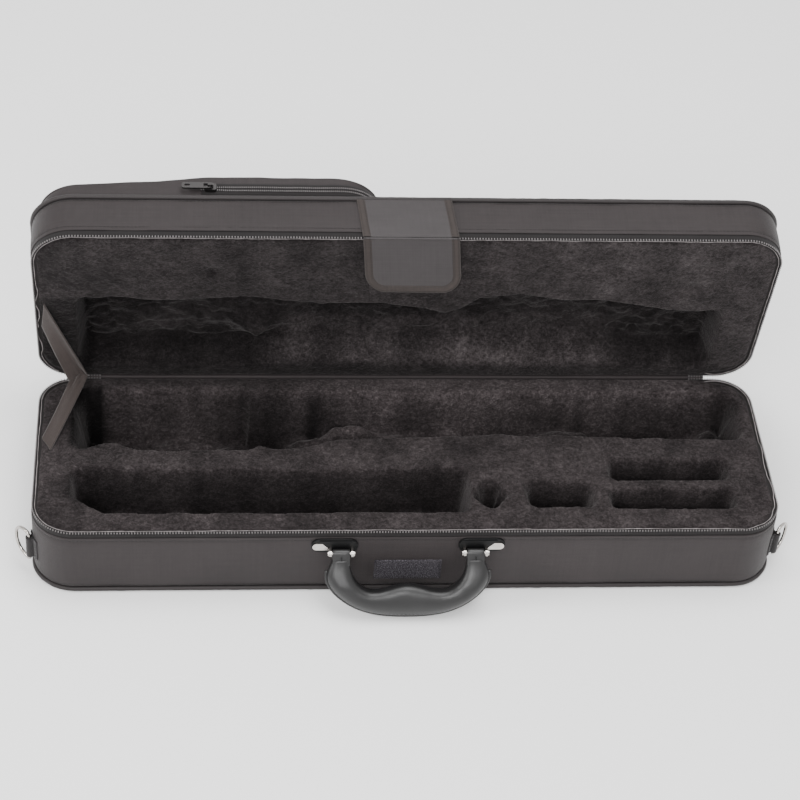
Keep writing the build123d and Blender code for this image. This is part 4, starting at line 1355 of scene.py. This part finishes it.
# Handle grip: leatherette over foam round a steel strip, with finger waves inside and a sewn welt
# where its two halves meet along the outer edge. Each end loops over a pin.
grip_tone = [(0.3, (0.006, 0.006, 0.0062)), (0.7, (0.012, 0.0116, 0.0118))]
grip_paint, grip_tree, grip_shader, grip_where = worn_finish("leatherette", grip_tone, 0.36, 0.5)
grain = grip_tree.nodes.new("ShaderNodeTexVoronoi")
grain.feature = "DISTANCE_TO_EDGE"
grain.inputs["Scale"].default_value = 1100
grip_tree.links.new(grip_where, grain.inputs["Vector"])
bump(grip_tree, grip_shader, calc(grip_tree, "MINIMUM", grain.outputs["Distance"], 0.12), 0.35, 0.0006)

tilt = math.radians(28)
grip_out = np.array([0, -math.sin(tilt), -math.cos(tilt)])
grip_face = np.array([0, -math.cos(tilt), math.sin(tilt)])


def grip_place(points):
    """A point of the handle's own plane, in millimetres across, up and out, to metres."""
    p = np.asarray(points, float)
    pin = np.array([handle_x, -114.0, 58.0])
    across = p[..., 0:1] * np.array([1.0, 0, 0])
    return (pin + across - p[..., 1:2] * grip_out + p[..., 2:3] * grip_face) / 1000


def curve_through(points, count):
    """A natural cubic curve through points, evenly sampled."""
    q = np.array(points, float)
    h = np.linalg.norm(np.diff(q, axis=0), axis=1)
    t = running(h)
    n = len(q)
    a = np.eye(n)
    b = np.zeros((n, q.shape[1]))
    for k in range(1, n - 1):
        a[k, k - 1 : k + 2] = (h[k - 1], 2 * (h[k - 1] + h[k]), h[k])
        b[k] = 6 * ((q[k + 1] - q[k]) / h[k] - (q[k] - q[k - 1]) / h[k - 1])
    m = np.linalg.solve(a, b)
    at = np.linspace(0, t[-1], count)
    k = np.clip(np.searchsorted(t, at) - 1, 0, n - 2)
    u = (at - t[k])[:, None]
    v = (t[k + 1] - at)[:, None]
    w = h[k][:, None]
    bend = (m[k] * v**3 + m[k + 1] * u**3) / (6 * w)
    return bend + (q[k] / w - m[k] * w / 6) * v + (q[k + 1] / w - m[k + 1] * w / 6) * u


stations = 150
outer_marks = [(-71.35, -6), (-76.35, -20.2), (-59.2, -46.4), (0, -61)]
inner_marks = [(-55.05, -6), (-52.05, -20.8), (-37.2, -35), (0, -30)]
outer = curve_through(outer_marks + [(-a, b) for a, b in outer_marks[2::-1]], stations)
inner = curve_through(inner_marks + [(-a, b) for a, b in inner_marks[2::-1]], stations)
along = np.linspace(0, 1, stations)
full = smooth(along / 0.17) * smooth((1 - along) / 0.17)
deep = 5.6 + 4.4 * full + 0.12 * line_noise(along * 300, 14, 131)
angle = np.linspace(0, 2 * math.pi, 40, endpoint=False)
power = 2 / 2.7
round_c = np.sign(np.cos(angle)) * np.abs(np.cos(angle)) ** power
round_s = np.sign(np.sin(angle)) * np.abs(np.sin(angle)) ** power
centre = (outer + inner) / 2
reach = (outer - inner) / 2
section = centre[:, None] + reach[:, None] * round_c[None, :, None]
pinch = 1 - 0.22 * np.exp(-(((round_c[None, :] - 1) / 0.35) ** 2)) * full[:, None]
section = np.dstack([section, deep[:, None] * round_s[None, :] * pinch])
section[..., 2] += (0.9 + 0.25 * noise(section[..., 0], section[..., 1], 12, 132)) * full[:, None]
grip = grid_object("grip_pad", grip_place(section), None, False, True, False, True)
set_material(grip, grip_paint)
made = [grip]
away = reach / np.linalg.norm(reach, axis=1)[:, None]
welt_path = np.column_stack([outer + away * 0.7, 0 * along])[8:-8]
welt = tube("grip_welt", welt_path, 1.7, 12, False, 0.62, grip_place)
set_material(welt, grip_paint)
made.append(welt)
for side in (-1, 1):
    row = np.column_stack([outer - away * 2.3, side * (deep * 0.52 + 1.0)])[12:-12]
    made.append(sew(f"grip_stitch_{side + 1}", grip_place(row), grip_face * side, 3.8))
for side in (-1, 1):
    post = side * pin_reach
    run = [(y, 3.5) for y in (-12, -9, -6, -3, 0)]
    run += [(3.5 * math.sin(a), 3.5 * math.cos(a)) for a in np.linspace(0, math.pi, 16)[1:]]
    run += [(y, -3.5) for y in (-3, -6, -9, -12)]
    run = np.array(run)
    step = np.gradient(run, axis=0)
    step /= np.linalg.norm(step, axis=1)[:, None]
    normal_run = np.stack([-step[:, 1], step[:, 0]], -1)
    rim = [(-8.1, -0.2), (-8.1, 0.5), (-7.6, 0.85), (-4, 0.9), (4, 0.9)]
    rim += [(7.6, 0.85), (8.1, 0.5), (8.1, -0.2), (7.6, -0.5), (-7.6, -0.5)]
    loop = []
    for (y, z), (ny, nz) in zip(run, normal_run):
        loop.append([(post + w, y + ny * o, z + nz * o) for w, o in rim])
    loop = np.array(loop)
    band = grid_object(f"grip_loop_{side + 1}", grip_place(loop), None, False, True, False, True)
    set_material(band, grip_paint)
    made.append(band)
handle_grip = join("handle_padding", made)
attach(handle_grip, "handle")
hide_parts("handle_grip")
steel = plain_finish("spring_steel", (0.03, 0.03, 0.03), 0.35, 0.5, 1.0)
set_material(nodes["handle_core"], steel)

# Ring tabs: short lengths of dark webbing, each folded round a carry ring's bar and stitched flat
# to the rounded front corner of the base
wrap_radius = 41.0
bar_reach = 44.8
bar_wrap = 2.75
tab_turn = math.radians(18)
tab_cloth = cloth("tab_cloth", (0.018, 0.016, 0.0165), 0.75, 800.0, 0.0002, 0.2, 0.25)
for side_name, side in (("left", -1), ("right", 1)):
    out_way = np.array([side * math.cos(tab_turn), -math.sin(tab_turn)])
    along_way = np.array([-out_way[1], out_way[0]])
    corner = np.array([side * 315.0, -66.0])

    def wrap(arc, radius=wrap_radius):
        """A point beside the corner, in the tab's own plan."""
        return radius * math.cos(arc / wrap_radius), radius * math.sin(arc / wrap_radius)

    run = [wrap(q) for q in np.linspace(-9, -4, 6)]
    for a in np.linspace(0.75, 2 * math.pi - 0.75, 26):
        run.append((bar_reach - bar_wrap * math.cos(a), -bar_wrap * math.sin(a)))
    run += [wrap(q) for q in np.linspace(4, 9, 6)]
    run = np.array(run)
    plan = corner + run[:, :1] * out_way + run[:, 1:] * along_way
    heights = np.linspace(21.6, 46.4, 22)
    tab = np.array([[(x, y, z) for z in heights] for x, y in plan])
    fray = 0.15 * noise(np.arange(len(plan))[:, None] + 0 * heights, heights[None, :], 5, 141 + side)
    tab[..., 2] += 0.2 * noise(tab[..., 0], tab[..., 1], 4, 143)
    tab[..., 0] += fray * out_way[0]
    steps = running(np.linalg.norm(np.diff(plan, axis=0), axis=1))
    tab_uv = np.stack(np.meshgrid(steps, heights, indexing="ij"), -1) / 1000
    webbing = grid_object(f"tab_webbing_{side_name}", on_base(tab), tab_uv, flip=side > 0)
    thicken(webbing, 1.2)
    set_material(webbing, tab_cloth)
    made = [webbing]
    for k, q in ((0, -7), (1, 7)):
        reach_out, reach_along = wrap(q, 41.8)
        spot = corner + reach_out * out_way + reach_along * along_way
        row = on_base([(spot[0], spot[1], z) for z in np.linspace(23, 45, 12)])
        made.append(sew(f"tab_thread_{side_name}_{k}", row, (*out_way, 0), 3.2))
    tab_piece = join(f"ring_tab_webbing_{side_name}", made)
    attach(tab_piece, "base")
    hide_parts(f"ring_tab_{side_name}")

# Pocket: an unlined nylon pocket on the lid's outside, with a gusset wall, a seam round its panel
# and a zip along the gusset's front that bends down at the right corner
pocket_cloth = cloth("pocket_cloth", (0.023, 0.0188, 0.0192), 0.6, 1500.0, 0.0001, 0.07, 0.18)


def pocket_outline(step):
    """Points and outward normals round the pocket, from the front's left end by the right."""
    parts = []

    left, right, front, rear, r = -342, -30, -100, 80, 34

    def side(a, b, n):
        count = int(math.dist(a, b) / step)
        for k in range(count):
            t = k / count
            parts.append((a[0] + (b[0] - a[0]) * t, a[1] + (b[1] - a[1]) * t, *n))

    def bend(cx, cy, start):
        for a in np.linspace(start, start + math.pi / 2, int(r * 1.6 / step), endpoint=False):
            parts.append((cx + r * math.cos(a), cy + r * math.sin(a), math.cos(a), math.sin(a)))

    side((left + r, front), (right - r, front), (0, -1))
    bend(right - r, front + r, -math.pi / 2)
    side((right, front + r), (right, rear - r), (1, 0))
    bend(right - r, rear - r, 0)
    side((right - r, rear), (left + r, rear), (0, 1))
    bend(left + r, rear - r, math.pi / 2)
    side((left, rear - r), (left, front + r), (-1, 0))
    bend(left + r, front + r, math.pi)
    q = np.array(parts)
    return q[:, :2], q[:, 2:], running(np.hypot(*np.diff(q[:, :2], axis=0).T))


def gusset_out(x, y, s, z):
    """How far the soft gusset stands out at a height above the lid's rim."""
    share = np.clip((np.asarray(z, float) - 51) / 22, 0, 1)
    belly = 1.1 * np.sin(share * math.pi) + 0.3
    front = np.exp(-(((x + 110) / 110) ** 2)) * (np.asarray(y) < -60)
    slump = (1.6 * front + 0.7 * noise(s, 3 * share, 55, 151) + 0.35 * noise(s, 9 * share, 16, 152)) * share
    return belly + slump


def pocket_rise(points):
    """The slack pocket sags to the left end and stands fuller along the right of its front."""
    p = np.array(points, float)
    x = p[..., 0]
    front = smooth((-10 - p[..., 1]) / 70)
    low = 1 - 0.4 * np.clip((-196 - x) / 150, 0, 1) ** 1.6 * front
    full = 4.0 * smooth((x + 250) / 70) * smooth((-36 - x) / 40) * front
    z = p[..., 2]
    p[..., 2] = 51 + (z - 51) * np.where(z > 51, low, 1) + full * smooth((z - 67) / 6)
    p[..., 0] = x - 6 * smooth((-250 - x) / 90)
    return p


qp, qn, qs = pocket_outline(2.2)
wall = [50.6, 51.2, 52.2, 54, 57, 60, 62.2, 64.5, 67, 69.5, 71.0]
rows = []
for z in wall:
    out = gusset_out(qp[:, 0], qp[:, 1], qs, z)
    rows.append(np.column_stack([qp + qn * out[:, None], np.full(len(qp), z)]))
top_out = gusset_out(qp[:, 0], qp[:, 1], qs, 71.5)
welt_profile = [(-0.6, 71.7), (-0.9, 72.6), (-0.4, 73.4), (0.6, 73.7), (1.6, 73.3), (2.2, 72.8)]
welt_profile += [(3.2, 72.9), (5, 73.4), (9, 74.2), (15, 74.8), (24, 75.4)]
for step_in, z in welt_profile:
    lift = 0.35 * noise(qs, np.full(len(qs), step_in * 1.0), 12, 153)
    rows.append(np.column_stack([qp + qn * (top_out - step_in)[:, None], z + lift]))
core = np.column_stack([np.clip(qp[:, 0], -260, -112), np.full(len(qp), -10.0)])
ring_in = rows[-1][:, :2]
for t in (0.2, 0.4, 0.6, 0.8, 1.0):
    xy = ring_in * (1 - t) + core * t
    z = 75.4 + 1.4 * smooth(t) + 0.8 * noise(xy[:, 0], xy[:, 1], 48, 154)
    rows.append(np.column_stack([xy, z]))
rows = np.stack(rows, 1)
run = running(np.linalg.norm(np.diff(rows[10], axis=0), axis=1))
pocket_uv = np.stack(np.broadcast_arrays(qs[:, None], run[None, :]), -1) / 1000
pocket_shell = grid_object("pocket_cloth_shell", on_lid(pocket_rise(rows)), pocket_uv, True)
set_material(pocket_shell, pocket_cloth)
made = [pocket_shell]
for z, inset in ((52.6, 0.0), (73.1, 4.6)):
    out = gusset_out(qp[:, 0], qp[:, 1], qs, z) + 0.15 - inset
    line = np.column_stack([qp + qn * out[:, None], np.full(len(qp), z + 0.25 * (inset > 0))])
    if inset:
        up = on_lid((0, 0, 1.0)) * 1000 - on_lid((0, 0, 0.0)) * 1000
        up = np.broadcast_to(up, line.shape)
    else:
        up = (on_lid(line + np.column_stack([qn, 0 * qs])) - on_lid(line)) * 1000
    made.append(sew(f"pocket_stitch_{int(z)}", on_lid(pocket_rise(line)), up, closed=True))
pocket_piece = join("pocket_body", made)
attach(pocket_piece, "lid")
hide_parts("pocket_gusset", "pocket_panel")

# Pocket zip: two woven tapes with two rows of nylon coil, sewn into the gusset's front and round
# its right corner. The rows meet at the slider.
zip_start = 110
zip_stop = 278
slider_at = 122
zip_part = (qs > zip_start) & (qs < zip_stop)
zp, zn, zs = qp[zip_part], qn[zip_part], qs[zip_part]
tape_rows = []
tape_levels = np.array([55.9, 56.4, 59.4, 62.2, 65.0, 68.0, 68.5])
for z, lift in zip(tape_levels, (0.15, 0.5, 0.55, 0.35, 0.55, 0.5, 0.15)):
    out = gusset_out(zp[:, 0], zp[:, 1], zs, z) + lift
    tape_rows.append(np.column_stack([zp + zn * out[:, None], np.full(len(zp), z)]))
tape_rows = np.stack(tape_rows, 1)
tape_uv = np.stack(np.broadcast_arrays(zs[:, None], tape_levels - tape_levels[0]), -1) / 1000
pocket_tape = grid_object("pocket_zip_cloth", on_lid(pocket_rise(tape_rows)), tape_uv)
set_material(pocket_tape, tape_cloth)
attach(pocket_tape, "lid")
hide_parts("pocket_zip_tape")
pocket_tooth = unit_bead("pocket_tooth", 1.0, 0.6, 0.7, 5, 8)
pocket_tooth.data.transform(Matrix.Rotation(math.pi / 2, 4, "Z"))
teeth_rows = []
for k, z in ((0, 60.3), (1, 64.1)):
    near_slider = np.exp(-np.maximum(zs - slider_at, 0) / 5)
    level = z + (1.1 if k == 0 else -1.1) * near_slider
    out = gusset_out(zp[:, 0], zp[:, 1], zs, z) + 1.0
    line = np.column_stack([zp + zn * out[:, None], level])
    up = (on_lid(line + np.column_stack([zn, 0 * zs])) - on_lid(line)) * 1000
    row = on_lid(pocket_rise(line))
    teeth_rows.append(repeat(f"pocket_teeth_{k}", row, up, pocket_tooth, 0.0019, coil_plastic, 0.06))
pocket_teeth = join("pocket_zip_teeth", teeth_rows)
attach(pocket_teeth, "lid")
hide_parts("pocket_zip_coil")
